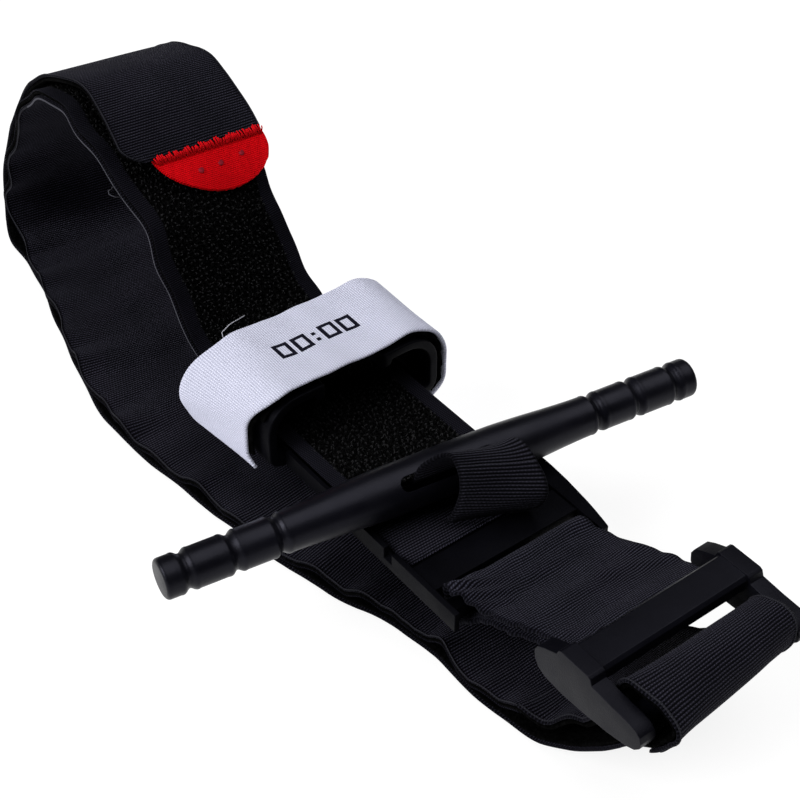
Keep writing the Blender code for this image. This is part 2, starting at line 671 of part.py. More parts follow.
# ---------------------------------------------------------------- tether and buckle
def build_tether():
    """The tether: one ring of webbing round the plate's end bar and the buckle's inner bar."""
    x0, z0 = END_BAR
    x1, z1 = INNER_BAR
    start_r = 2.6 + GAP
    end_r = INNER_BAR_R + GAP
    slope = math.degrees(math.atan2(z1 - z0, x1 - x0))
    grip = 24  # the webbing closes in past a half turn, towards its waist
    inner_line = arc((x0, z0), start_r, 90 + slope - grip, 270 + slope + grip, 8)
    waist = [0.25, 0.5, 0.75]
    along = Vector((x1 - x0, z1 - z0))
    normal = Vector((-along.y, along.x)).normalized()
    under = [Vector((x0, z0)) + along * w - normal * GAP for w in waist]
    over = [Vector((x0, z0)) + along * w + normal * GAP for w in reversed(waist)]
    inner_line += [(p.x, p.y) for p in under]
    inner_line += arc((x1, z1), end_r, -90 + slope - grip, 90 + slope + grip, 8)
    inner_line += [(p.x, p.y) for p in over]
    count = len(inner_line)
    pts = [Vector(p) for p in inner_line]
    outer_line = []
    for k in range(count):
        ahead = (pts[(k + 1) % count] - pts[k - 1]).normalized()
        outer_line.append(pts[k] + Vector((ahead.y, -ahead.x)) * TETHER_THICK)

    bm = bmesh.new()
    rings = []
    for inner, outer in zip(pts, outer_line):
        share = (inner.x - x0) / (x1 - x0)
        drift = DECK_Y + (BUCKLE_Y - DECK_Y) * min(max(share / TETHER_DRIFT, 0.0), 1.0)
        low, high = drift - TETHER_WIDTH / 2, drift + TETHER_WIDTH / 2
        corners = ((inner, low), (inner, high), (outer, high), (outer, low))
        rings.append([bm.verts.new((p.x, y, p.y)) for p, y in corners])
    for i in range(count):
        one, two = rings[i], rings[(i + 1) % count]
        for k in range(4):
            bm.faces.new((one[k], one[(k + 1) % 4], two[(k + 1) % 4], two[k]))
    add_object("tether_webbing", bm, BLACK_FABRIC)


def build_buckle(pivot):
    """The slide buckle: two cheeks, an inner bar, a raised flat cross bar and an outer bar."""
    near, far = BUCKLE_Y - BUCKLE_WIDTH / 2, BUCKLE_Y + BUCKLE_WIDTH / 2
    cheek = [(51.2, 28.2), (51.4, 26.0), (52.6, 24.0), (55.0, 22.9), (60, 22.5), (66, 22.8), (73, 23.7)]
    cheek += [(78.4, 24.9), (80.3, 25.8), (81.5, 27.2), (81.8, 28.8), (81.3, 30.3), (80.0, 31.3)]
    cheek += [(78.0, 31.7), (73, 31.9), (67.6, 32.4), (67.1, 33.8), (66.4, 34.2), (58.6, 34.2)]
    cheek += [(57.9, 33.8), (57.4, 32.5), (54.0, 31.0), (52.0, 29.8)]

    def prism(bm, outline, y_range):
        ends = [[bm.verts.new((x, y, z)) for x, z in outline] for y in y_range]
        bm.faces.new(ends[0])
        bm.faces.new(ends[1][::-1])
        for k in range(len(outline)):
            n = (k + 1) % len(outline)
            bm.faces.new((ends[0][k], ends[1][k], ends[1][n], ends[0][n]))

    body = bmesh.new()
    prism(body, cheek, (near, near + CHEEK_THICK))
    frame = add_object("buckle_frame", body, BLACK_PLASTIC)

    def joined(name, outline, y_range):
        """Union one more prism onto the frame."""
        bm = bmesh.new()
        prism(bm, outline, y_range)
        piece = add_object(name, bm, BLACK_PLASTIC)
        piece.hide_render = True
        piece.display_type = "WIRE"
        union = frame.modifiers.new(name, "BOOLEAN")
        union.object = piece
        union.operation = "UNION"
        union.solver = "EXACT"
        return piece

    x0, x1 = CROSS_BAR_X
    z0, z1 = CROSS_BAR_Z
    bite = CHEEK_THICK - 1.0
    inside = (near + bite, far - bite)
    cross = [(x0, z0), (x1, z0), (x1, z1 - 0.8), (x1 - 0.8, z1), (x0 + 0.8, z1), (x0, z1 - 0.8)]
    guides = [
        joined("far_cheek", cheek, (far - CHEEK_THICK, far)),
        joined("inner_bar", arc(INNER_BAR, INNER_BAR_R, 0, 330, 11), inside),
        joined("outer_bar", arc(OUTER_BAR, OUTER_BAR_R, 0, 330, 11), inside),
        joined("cross_bar", cross, inside),
    ]
    for item in [frame] + guides:
        hang(item, pivot)


def main():
    """Build every piece."""
    clear_scene()
    rod_pivot = add_pivot("windlass_pivot", (0.0, 0.0, ROD_Z))
    strap_pivot = add_pivot("time_strap_pivot", (-45.9, DECK_Y + 26.6, 17.6))
    buckle_pivot = add_pivot("buckle_pivot", (INNER_BAR[0], BUCKLE_Y, INNER_BAR[1]))
    band, strip, peel = build_band()
    place, _, _ = strip.at(peel)
    peel_pivot = add_pivot("free_end_pivot", place)
    for name in ("free_end_skin", "free_end_pile"):
        hang(band[name], peel_pivot)
    for name in ("buckle_wrap_skin", "buckle_wrap_pile"):
        hang(band[name], buckle_pivot)
    build_tip_tab(strip, peel_pivot)
    build_plate()
    build_clip()
    build_hook_pads()
    build_time_strap(strap_pivot)
    build_rod(rod_pivot)
    hang(build_tension_loop(), rod_pivot)
    build_tether()
    build_buckle(buckle_pivot)


main()
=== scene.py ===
import math

import bmesh
import bpy
import numpy as np
from mathutils import Matrix, Vector


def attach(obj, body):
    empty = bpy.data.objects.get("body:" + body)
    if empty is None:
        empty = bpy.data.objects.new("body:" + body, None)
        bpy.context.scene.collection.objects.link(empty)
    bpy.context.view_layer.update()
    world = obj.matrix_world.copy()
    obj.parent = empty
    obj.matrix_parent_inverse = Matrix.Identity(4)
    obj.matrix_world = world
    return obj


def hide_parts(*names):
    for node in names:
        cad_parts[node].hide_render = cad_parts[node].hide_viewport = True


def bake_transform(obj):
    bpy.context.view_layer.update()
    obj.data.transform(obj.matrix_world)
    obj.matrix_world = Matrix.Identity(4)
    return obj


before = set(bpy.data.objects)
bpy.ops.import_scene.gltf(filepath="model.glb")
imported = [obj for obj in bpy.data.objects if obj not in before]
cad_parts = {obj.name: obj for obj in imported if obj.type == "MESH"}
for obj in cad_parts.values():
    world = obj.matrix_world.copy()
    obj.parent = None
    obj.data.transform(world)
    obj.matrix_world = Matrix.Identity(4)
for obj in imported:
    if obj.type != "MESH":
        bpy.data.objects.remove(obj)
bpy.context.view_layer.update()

# Lengths are in millimetres in the same frame as the CAD, and turn into metres when a mesh is made.
MM = 0.001

# ---- band: widths, plies and path, as in the CAD ----
BAND_WIDTH = 38.0
PILE_WIDTH = BAND_WIDTH - 0.6
# Each ply's two heights off the band's path. The standing pile is thinner than the CAD's: curls top it up.
SKIN = (0.0, 0.7)
STANDING_PILE = (1.0, 2.0)
RUNNING_PILE = (1.0, 1.9)
PILE_FROM, PILE_SHORT_BY = 19.0, 1.8  # where the pile starts, and how far it ends before the band does
THREAD_AT = 18.85  # how far the edge threads lie from the band's middle line
DECK_Y = 0.9
LOWER_RUN_Z = 4.9
BUCKLE_Y = 7.2
TETHER_WIDTH = 37.0
LOOP_WIDTH = 19.5

# Places on the band's path: x, y, z, and the yaw and roll of its width in degrees.
UPPER_RUN = [
    (12.3, 0.9, 19.9, 0, 0), (-6, 0.9, 19.9, 0, 0), (-34, 0.9, 19.9, 0, 0), (-58, 0.9, 19.9, 0, 0),
    (-68, 0.9, 20.4, 2, 0), (-77, 1.0, 23.8, 4, 0), (-84.5, 1.2, 31.2, 6, 0), (-91, 1.4, 40.2, 7, 0),
    (-98.5, 1.6, 48, 6, 0), (-108, 1.8, 53, 4, 2), (-120, 2.0, 57.2, 2, 3),
]
LEFT_ARCH = [
    (-132, 2.0, 61.2, 0, 4), (-143, 1.8, 60, 0, 4), (-153.5, 1.4, 52.5, 0, 3), (-161.5, 1.0, 40.5, 0, 2),
    (-167.5, 0.5, 27, -3, 0), (-170, 0.0, 15, -7, 0), (-166, -0.6, 7.6, -9, 0),
]
LOWER_RUN = [
    (-156, -2.6, LOWER_RUN_Z, -11, 0), (-135, -7.2, LOWER_RUN_Z, -13, 0), (-113, -13.2, LOWER_RUN_Z, -12, 0),
    (-94, -17.2, LOWER_RUN_Z, -7, 0), (-78, -18.2, LOWER_RUN_Z, 0, 0), (-62, -16.4, LOWER_RUN_Z, 6, 0),
    (-45, -14.2, LOWER_RUN_Z, 6, 0), (-28, -12.0, LOWER_RUN_Z, 9, 0), (-12, -8.0, LOWER_RUN_Z, 13, 0),
    (3, -3.2, LOWER_RUN_Z, 12, 0), (16, -0.4, LOWER_RUN_Z, 6, 0), (27, 0.2, LOWER_RUN_Z, 1, 0),
]
CLIMB = [(38, 0.2, 5.3, 1, 0), (48, 1.2, 6.6, 4, 0), (57, 3.6, 10.8, 5, 0), (64, 6.2, 17.8, 2, 0),
         (68.2, BUCKLE_Y, 25, 0, 0)]
BUCKLE_WRAP = [
    (70.2, BUCKLE_Y, 31, 1, 0), (74, BUCKLE_Y, 34.8, 2, 0), (78.6, BUCKLE_Y, 35.6, 4, 0),
    (82.2, BUCKLE_Y, 33.2, 5, 0), (83.4, BUCKLE_Y, 29.2, 5, 0), (82.2, BUCKLE_Y, 25.4, 5, 0),
    (79.2, BUCKLE_Y, 22.2, 4, 0),
]
DESCENT = [(74.4, 6.8, 17.6, 2, 0), (68, 5.6, 11.0, 3, 0), (60.5, 3.8, 4.8, 4, 0), (52, 2.0, 0.8, 4, 0),
           (42, 0.6, 0.0, 3, 0)]
OUTER_ARCH = [
    (-170.5, -1.0, 1.8, -9, 0), (-175.4, 0.6, 10, -7, 0), (-173.8, 2.0, 27, -3, 0), (-167.5, 3.5, 42, 0, 2),
    (-159, 4.1, 54.6, 0, 3), (-148, 4.4, 63.4, 0, 5), (-137, 4.6, 68.4, 0, 6), (-126, 5.0, 70.2, 1, 7),
]
FREE_END = [(-117.5, 4.9, 68.0, 2, 6), (-110.5, 4.4, 64.2, 0, 4), (-103.2, 3.8, 59.4, -3, 2)]


# ------------------------------------------------------------------ paths and meshes
def smooth_curve(points, step=0.5):
    """A dense curve through the points, in any dimension: Catmull-Rom with chord-length knots."""
    pts = np.array(points, float)
    pts = np.vstack([2 * pts[0] - pts[1], pts, 2 * pts[-1] - pts[-2]])
    out = []
    for i in range(1, len(pts) - 2):
        p0, p1, p2, p3 = pts[i - 1 : i + 3]
        t0, t1, t2 = (max(np.linalg.norm(b[:3] - a[:3]), 1e-6) for a, b in ((p0, p1), (p1, p2), (p2, p3)))
        m1 = t1 * ((p1 - p0) / t0 - (p2 - p0) / (t0 + t1) + (p2 - p1) / t1)
        m2 = t1 * ((p2 - p1) / t1 - (p3 - p1) / (t1 + t2) + (p3 - p2) / t2)
        for u in np.linspace(0, 1, max(int(t1 / step), 2), endpoint=False):
            a, b = (1 + 2 * u) * (1 - u) ** 2, u * (1 - u) ** 2
            c, d = u * u * (3 - 2 * u), u * u * (u - 1)
            out.append(a * p1 + b * m1 + c * p2 + d * m2)
    out.append(pts[-2])
    return np.array(out)


def turned(rows):
    """Rows of x, y, z, yaw, roll as points and width directions."""
    yaw, roll = np.radians(rows[:, 3]), np.radians(rows[:, 4])
    wide = np.stack([-np.sin(yaw) * np.cos(roll), np.cos(yaw) * np.cos(roll), -np.sin(roll)], 1)
    return rows[:, :3], wide


class Path:
    """A strip's middle line with its width directions, read by arclength."""

    def __init__(self, points, wide):
        self.points, self.wide = points, wide
        self.run = np.concatenate([[0], np.cumsum(np.linalg.norm(np.diff(points, axis=0), axis=1))])
        tangents = np.gradient(points, axis=0)
        self.tangents = tangents / np.linalg.norm(tangents, axis=1)[:, None]
        self.length = self.run[-1]

    def read(self, s):
        """Points, width directions and normals at an array of arclengths."""
        s = np.atleast_1d(s)

        def pick(rows):
            return np.stack([np.interp(s, self.run, rows[:, k]) for k in range(3)], 1)

        place, wide, tangent = pick(self.points), pick(self.wide), pick(self.tangents)
        wide /= np.linalg.norm(wide, axis=1)[:, None]
        normal = np.cross(wide, tangent)
        return place, wide, normal / np.linalg.norm(normal, axis=1)[:, None]

    def nearest(self, x, z, low=0.0):
        """Arclength of the point nearest to (x, z), no lower than low."""
        away = np.hypot(self.points[:, 0] - x, self.points[:, 2] - z)
        away[self.run < low] = np.inf
        return self.run[int(np.argmin(away))]


def band_path():
    """The whole band as one path, starting under the rod."""
    under = [(x, y, 0.0, yaw, roll) for x, y, _, yaw, roll in reversed(LOWER_RUN)]
    running = BUCKLE_WRAP + DESCENT + under + OUTER_ARCH + FREE_END
    dense = smooth_curve(UPPER_RUN + LEFT_ARCH + LOWER_RUN + CLIMB + running)
    turn = int(np.argmax(dense[:, 0]))
    dense[:turn, 2] = np.maximum(dense[:turn, 2], LOWER_RUN_Z)
    dense[turn:, 2] = np.maximum(dense[turn:, 2], 0.0)
    return Path(*turned(dense))


def ripple(seed, waves, amount):
    """A smooth wandering function of arclength, from a few sine waves of the given lengths."""
    rng = np.random.default_rng(seed)
    phases = rng.uniform(0, 2 * math.pi, len(waves))
    shares = rng.uniform(0.6, 1.0, len(waves))
    shares *= amount / shares.sum()
    parts = list(zip(shares, waves, phases))
    return lambda s: sum(w * np.sin(2 * math.pi * s / length + phase) for w, length, phase in parts)


def add_to_scene(name, data):
    """An object around a mesh, a light or a camera."""
    item = bpy.data.objects.new(name, data)
    bpy.context.scene.collection.objects.link(item)
    return item


def make_object(name, verts, faces, material, uv=None, sharp=None):
    """A smooth mesh object from arrays in millimetres. uv holds one pair per vertex, also in millimetres."""
    mesh = bpy.data.meshes.new(name)
    mesh.from_pydata((np.asarray(verts, float) * MM).tolist(), [], faces)
    if uv is not None:
        loops = np.empty(len(mesh.loops), np.int32)
        mesh.loops.foreach_get("vertex_index", loops)
        layer = mesh.uv_layers.new(name="web")
        layer.data.foreach_set("uv", np.asarray(uv, np.float32)[loops].ravel())
    mesh.shade_smooth()
    if sharp:
        mesh.set_sharp_from_angle(angle=math.radians(sharp))
    mesh.materials.append(material)
    return add_to_scene(name, mesh)


def ring_faces(rings, count, first=0, capped=True):
    """Quads between rings of vertices, each ring closed on itself, and a face over each end."""
    faces = []
    for i in range(rings - 1):
        a, b = first + i * count, first + (i + 1) * count
        for k in range(count):
            n = (k + 1) % count
            faces.append((a + k, a + n, b + n, b + k))
    if capped:
        last = first + (rings - 1) * count
        faces.append(tuple(range(first, first + count))[::-1])
        faces.append(tuple(range(last, last + count)))
    return faces


def ribbon(name, path, start, end, width, span, material, shape, middle=0.0, step=0.8, columns=22):
    """A strip of webbing with rounded selvages, from arclength start to end.

    span is its two heights off the path. shape(s, a) gives how far the point at arclength s and
    distance a from the middle line is moved across the strip and along its normal.
    """
    rings = max(int(round((end - start) / step)), 2) + 1
    s = np.linspace(start, end, rings)
    place, wide, normal = path.read(s)
    low, high = span
    half, soft = width / 2, min(0.3, (high - low) / 2.2)
    top = np.linspace(-half + soft, half - soft, columns + 1)
    across = np.concatenate([[-half], top, [half, half], top[::-1], [-half]])
    height = np.concatenate([[high - soft], np.full(columns + 1, high), [high - soft, low + soft],
                             np.full(columns + 1, low), [low + soft]])
    grid_s, grid_a = np.meshgrid(s, across + middle, indexing="ij")
    side, lift = shape(grid_s, grid_a)
    a = grid_a + side
    h = height[None, :] + lift
    verts = place[:, None, :] + wide[:, None, :] * a[..., None] + normal[:, None, :] * h[..., None]
    uv = np.stack([grid_a, grid_s], -1)
    faces = ring_faces(rings, len(across))
    return make_object(name, verts.reshape(-1, 3), faces, material, uv=uv.reshape(-1, 2))


def spot_on(path, shape, s, a, height, across=0.0):
    """A point on a shaped strip, at a height off it and moved further across it."""
    place, wide, normal = (rows[0] for rows in path.read([s]))
    move, lift = shape(np.array(s), np.array(a))
    return place + wide * (a + move + across) + normal * (height + lift)


def tube(name, lines, radius, material, sides=6):
    """Round threads along lists of points, all in one mesh."""
    verts, faces, uvs = [], [], []
    turns = np.arange(sides) * 2 * math.pi / sides
    for line in lines:
        line = np.array(line, float)
        tangent = np.gradient(line, axis=0)
        tangent /= np.linalg.norm(tangent, axis=1)[:, None]
        helper = np.tile([0.31, 0.22, 0.92], (len(line), 1))  # any direction that no thread runs in
        one = np.cross(tangent, helper)
        one /= np.linalg.norm(one, axis=1)[:, None]
        two = np.cross(tangent, one)
        ring = one[:, None, :] * np.cos(turns)[None, :, None]
        ring = ring + two[:, None, :] * np.sin(turns)[None, :, None]
        first = sum(len(v) for v in verts)
        verts.append((line[:, None, :] + ring * radius).reshape(-1, 3))
        run = np.concatenate([[0], np.cumsum(np.linalg.norm(np.diff(line, axis=0), axis=1))])
        uv = np.stack([np.tile(turns, (len(line), 1)), np.tile(run[:, None], (1, sides))], -1)
        uvs.append(uv.reshape(-1, 2))
        faces += ring_faces(len(line), sides, first)
    return make_object(name, np.vstack(verts), faces, material, uv=np.vstack(uvs))


# ------------------------------------------------------------------ materials
class Shader:
    """A material under construction: a Principled shader with helpers for the nodes that feed it."""

    def __init__(self, name, **inputs):
        self.material = bpy.data.materials.new(name)
        self.material.use_nodes = True
        self.nodes = self.material.node_tree.nodes
        self.links = self.material.node_tree.links
        self.main = self.nodes["Principled BSDF"]
        for key, value in inputs.items():
            self.main.inputs[key.replace("_", " ")].default_value = value

    def put(self, socket, value):
        """Give a socket a number, a colour or a link."""
        if isinstance(value, bpy.types.NodeSocket):
            self.links.new(value, socket)
        else:
            socket.default_value = value

    def math(self, operation, *values):
        node = self.nodes.new("ShaderNodeMath")
        node.operation = operation
        for socket, value in zip(node.inputs, values):
            self.put(socket, value)
        return node.outputs[0]

    def web(self):
        """Millimetres across and along the strip."""
        node = self.nodes.new("ShaderNodeUVMap")
        node.uv_map = "web"
        split = self.nodes.new("ShaderNodeSeparateXYZ")
        self.links.new(node.outputs[0], split.inputs[0])
        return node.outputs[0], split.outputs[0], split.outputs[1]

    def solid(self):
        """Object coordinates, in metres."""
        return self.nodes.new("ShaderNodeTexCoord").outputs["Object"]

    def noise(self, vector, scale, detail, roughness=0.5):
        node = self.nodes.new("ShaderNodeTexNoise")
        self.links.new(vector, node.inputs["Vector"])
        node.inputs["Scale"].default_value = scale
        node.inputs["Detail"].default_value = detail
        node.inputs["Roughness"].default_value = roughness
        return node.outputs[0]

    def cells(self, vector, scale):
        """Distance to the nearest of many scattered points."""
        node = self.nodes.new("ShaderNodeTexVoronoi")
        self.links.new(vector, node.inputs["Vector"])
        node.inputs["Scale"].default_value = scale
        return node.outputs["Distance"]

    def wave(self, value, pitch):
        """A sine from 0 to 1 that repeats every pitch."""
        turns = self.math("MULTIPLY_ADD", value, 2 * math.pi / pitch, 0.0)
        return self.math("MULTIPLY_ADD", self.math("SINE", turns), 0.5, 0.5)

    def ramp(self, value, low, high, out_low=0.0, out_high=1.0):
        """A value's range stretched to another range, and held inside it."""
        node = self.nodes.new("ShaderNodeMapRange")
        for socket, number in zip(node.inputs, (value, low, high, out_low, out_high)):
            self.put(socket, number)
        return node.outputs[0]

    def blend(self, share, one, two):
        """A mix of two colours."""
        node = self.nodes.new("ShaderNodeMix")
        node.data_type = "RGBA"
        self.put(node.inputs["Factor"], share)
        self.put(node.inputs["A"], one if isinstance(one, bpy.types.NodeSocket) else (*one, 1.0))
        self.put(node.inputs["B"], two if isinstance(two, bpy.types.NodeSocket) else (*two, 1.0))
        return node.outputs["Result"]

    def finish(self, colour, roughness, height, distance):
        """Connect colour, roughness and a bump of the given depth in millimetres; gives the material."""
        self.put(self.main.inputs["Base Color"], colour)
        self.put(self.main.inputs["Roughness"], roughness)
        bump = self.nodes.new("ShaderNodeBump")
        bump.inputs["Strength"].default_value = 1.0
        bump.inputs["Distance"].default_value = distance * MM
        self.links.new(height, bump.inputs["Height"])
        self.links.new(bump.outputs[0], self.main.inputs["Normal"])
        return self.material


COOL = (0.80, 0.80, 1.0, 1.0)  # tint of the cloth's sheen and the plastic's gloss


def webbing(name, groove, crest, rib, yarn, depth=0.3, roughness=0.8, gloss=0.03, sheen=0.03,
            worn=0.35, wander=0.4, sharp=1.5, wave_scale=0.16, broken=0.6, edge=None):
    """Ribbed webbing: ribs across the strip, broken up by its warp yarns, with uneven dyeing.

    rib and yarn are pitches in millimetres, wander bends the ribs, broken is how far the yarns cut
    them, worn is how uneven the dye is, and the ribs fade out towards edge, off the middle line.
    The colour follows the ribs' height: painted shade in the grooves, painted highlight on the crests.
    """
    sh = Shader(name, Sheen_Weight=sheen, Sheen_Roughness=0.45, Specular_IOR_Level=gloss, Sheen_Tint=COOL)
    vector, u, v = sh.web()
    along = sh.math("MULTIPLY_ADD", sh.noise(vector, wave_scale, 2), wander, v)
    ribs = sh.wave(along, rib)
    odd = sh.math("MODULO", sh.math("FLOOR", sh.math("DIVIDE", along, rib)), 2.0)
    yarns = sh.wave(sh.math("MULTIPLY_ADD", odd, yarn / 2, u), yarn)
    crests, cuts = sh.math("POWER", ribs, sharp), sh.math("MULTIPLY_ADD", yarns, broken, 1.0 - broken)
    height = sh.math("MULTIPLY", crests, cuts)
    if edge:
        inside = sh.ramp(sh.math("ABSOLUTE", u), edge - 0.7, edge, 1.0, 0.3)
        height = sh.math("MULTIPLY", height, inside)
    fray = sh.noise(vector, 3.5, 3)
    rough_height = sh.math("MULTIPLY_ADD", fray, 0.2, height)
    patch = sh.ramp(sh.noise(vector, 0.09, 4), 0.35, 0.7)
    share = sh.math("MULTIPLY", height, sh.math("MULTIPLY_ADD", patch, worn, 1.0 - worn / 2))
    # Painted shade in the rib grooves and painted highlight on the rib crests: the colour follows the ribs'
    # height.
    colour = sh.blend(share, groove, crest)
    rough = sh.ramp(fray, 0.3, 0.7, roughness - 0.08, roughness + 0.08)
    return sh.finish(colour, rough, rough_height, depth)


def pile_cloth(name, groove, tip):
    """Loop pile seen close: clumps of curls, with painted shade in the crevices between them."""
    sh = Shader(name, Specular_IOR_Level=0.02)
    vector, _, _ = sh.web()
    clumps = sh.math("SUBTRACT", 1.0, sh.cells(vector, 0.95))
    curls = sh.noise(vector, 2.6, 4, 0.65)
    height = sh.math("MULTIPLY_ADD", curls, 0.7, clumps)
    # Painted shade: the colour darkens from the clumps' tops down into the crevices between them.
    colour = sh.blend(sh.ramp(height, 0.75, 1.35), groove, tip)
    return sh.finish(colour, sh.ramp(curls, 0.3, 0.7, 0.82, 0.96), height, 0.5)


def moulded_plastic(name, base, bright, roughness, grain, gloss):
    """Moulded nylon: fine spark-eroded grain, flow marks and rubbed patches."""
    sh = Shader(name, Specular_IOR_Level=gloss, Specular_Tint=COOL)
    vector = sh.solid()
    fine = sh.noise(vector, 2600, 3, 0.6)
    flow = sh.noise(vector, 130, 4, 0.55)
    rubbed = sh.ramp(sh.noise(vector, 45, 3), 0.42, 0.72)
    share = sh.math("MULTIPLY_ADD", rubbed, 0.55, sh.math("MULTIPLY", flow, 0.35))
    colour = sh.blend(share, base, bright)
    rough = sh.math("MULTIPLY_ADD", fine, 0.12, sh.ramp(flow, 0.3, 0.7, roughness - 0.07, roughness + 0.07))
    height = sh.math("MULTIPLY_ADD", flow, 1.2, fine)
    return sh.finish(colour, rough, height, grain)


def thread_finish(name, colour, light):
    """Twisted sewing thread."""
    sh = Shader(name, Specular_IOR_Level=0.05)
    vector, u, v = sh.web()
    twist = sh.wave(sh.math("MULTIPLY_ADD", u, 0.12, v), 0.55)
    shade = sh.math("MULTIPLY_ADD", sh.noise(vector, 1.2, 2), 0.4, sh.math("MULTIPLY", twist, 0.6))
    return sh.finish(sh.blend(shade, colour, light), sh.ramp(twist, 0, 1, 0.65, 0.8), twist, 0.06)


SKIN_CLOTH = webbing(
    "black_webbing", (0.0003, 0.0003, 0.0009), (0.042, 0.040, 0.060), rib=0.72, yarn=0.74, depth=0.34,
    sharp=1.8, broken=0.68, edge=18.7)
SELVAGE_CLOTH = webbing(
    "black_selvage", (0.0004, 0.0004, 0.0009), (0.011, 0.0105, 0.0175), rib=0.5, yarn=0.55, depth=0.15)
TETHER_CLOTH = webbing(
    "tether_cloth", (0.0003, 0.0003, 0.0010), (0.048, 0.047, 0.070), rib=0.66, yarn=0.66, depth=0.34,
    wander=4.0, sharp=1.8, wave_scale=0.06, broken=0.72, edge=18.2)
LOOP_CLOTH = webbing(
    "tension_cloth", (0.0002, 0.0002, 0.0006), (0.028, 0.027, 0.039), rib=0.76, yarn=0.9, worn=0.2,
    wander=0.3, sharp=1.7, broken=0.4, edge=9.5)
WHITE_CLOTH = webbing(
    "white_webbing", (0.41, 0.42, 0.53), (0.73, 0.74, 0.88), rib=0.56, yarn=0.7, depth=0.12,
    roughness=0.75, gloss=0.05, sheen=0.0, worn=0.1, wander=0.1, sharp=0.6)
RED_CLOTH = webbing(
    "red_webbing", (0.44, 0.0007, 0.0022), (0.84, 0.0036, 0.0092), rib=0.5, yarn=0.5, depth=0.14,
    roughness=0.7, gloss=0.02, sheen=0.0, worn=0.4, wander=0.2, sharp=0.7)
PILE_CLOTH = pile_cloth("black_pile", (0.0002, 0.0002, 0.0002), (0.0022, 0.0022, 0.0024))
# Painted shade: the plate and clip nylon gets a darker colour than the buckle's and the rod's, for the shade
# these parts lie in.
PLASTIC = moulded_plastic(
    "black_nylon", (0.0006, 0.0006, 0.0010), (0.0022, 0.0022, 0.0034),
    roughness=0.42, grain=0.05, gloss=0.035)
BUCKLE_PLASTIC = moulded_plastic(
    "buckle_nylon", (0.0014, 0.0014, 0.0024), (0.0048, 0.0048, 0.0080),
    roughness=0.36, grain=0.04, gloss=0.10)
ROD_PLASTIC = moulded_plastic(
    "rod_nylon", (0.0014, 0.0014, 0.0024), (0.0050, 0.0050, 0.0082),
    roughness=0.32, grain=0.03, gloss=0.17)
RED_THREAD = thread_finish("red_thread", (0.40, 0.0010, 0.0030), (0.80, 0.0040, 0.0100))
EDGE_THREAD = thread_finish("edge_thread", (0.035, 0.035, 0.044), (0.090, 0.090, 0.108))
BLACK_THREAD = thread_finish("black_thread", (0.006, 0.006, 0.008), (0.026, 0.026, 0.033))
# One black pile yarn in two tones: the undergrowth's darker colour is painted shade, the knobs' lighter
# colour is painted highlight.
CURL_THREAD = thread_finish("pile_curls", (0.0004, 0.0004, 0.0004), (0.0050, 0.0050, 0.0054))
KNOB_THREAD = thread_finish("pile_knobs", (0.0040, 0.0040, 0.0042), (0.030, 0.030, 0.032))
WHITE_THREAD = thread_finish("white_thread", (0.35, 0.35, 0.4), (0.6, 0.6, 0.65))
WELD_RED = thread_finish("weld_red", (0.16, 0.006, 0.012), (0.34, 0.02, 0.035))
PRINT_INK = thread_finish("print_ink", (0.0035, 0.0035, 0.008), (0.009, 0.009, 0.018))


def ride(item, body, slot, *nodes):
    """Say what a piece moves with and which CAD nodes it stands for; slot is not used."""
    if isinstance(body, str):
        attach(item, body)
    else:
        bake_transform(item)
    if nodes:
        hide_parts(*nodes)
    return item


# ------------------------------------------------------------------ the band
def edge_weight(a, side, width=BAND_WIDTH, power=3):
    """0 in the middle of a strip, 1 at one of its selvages."""
    return np.clip(side * a / (width / 2), 0, 1) ** power


def standing_shape(path):
    """How the sewn double band wavers: small puckers at its selvages, and lifts along its near one."""
    near, far = ripple(3, (13, 19, 27), 1.6), ripple(4, (12, 19, 31), 0.8)
    drift, body = ripple(5, (19, 37), 0.8), ripple(7, (21, 33), 0.5)
    lift = ripple(6, (27, 41, 13), 1.0)
    clip = path.nearest(-60, 20)  # flat and straight as far as here, held by the plate and the clip
    crest, foot = path.nearest(-143, 60), path.nearest(-156, LOWER_RUN_Z)
    deepest, highest, highest_on_table, opening = -2.2, 0.9, 0.25, 2.2

    def shape(s, a):
        loose = np.clip((s - clip) / 12, 0, 1)
        opened = np.clip(lift(s), 0, 1) * np.clip((s - foot) / 20, 0, 1)
        waves = near(s) * (0.45 + 0.55 * np.clip((s - crest - 8) / 20, 0, 1)) * edge_weight(a, -1, power=2)
        h = loose * (waves + far(s) * edge_weight(a, 1) + body(s + a * 0.2))
        h = np.clip(h, deepest, highest)
        h = np.where(s > foot, np.minimum(h, highest_on_table), h)
        h = h - opening * opened * edge_weight(a, -1)
        return drift(s) * loose, h

    return shape


def running_shape():
    """The single running end: it wavers a little at its selvages, and never below the table."""
    near, far = ripple(13, (12, 19, 28), 0.28), ripple(14, (13, 17, 33), 0.28)
    drift = ripple(15, (21, 41), 0.4)
    corner = 6.0  # length of the last stretch, where the near corner is drawn in and down

    def shape(s, a):
        h = np.maximum(near(s), 0) * edge_weight(a, -1) + np.maximum(far(s), 0) * edge_weight(a, 1)
        turned_in = np.clip((s - BAND.length + corner) / corner, 0, 1) ** 2 * edge_weight(a, -1, power=4)
        return drift(s) + 5.0 * turned_in, h - 0.8 * turned_in

    return shape


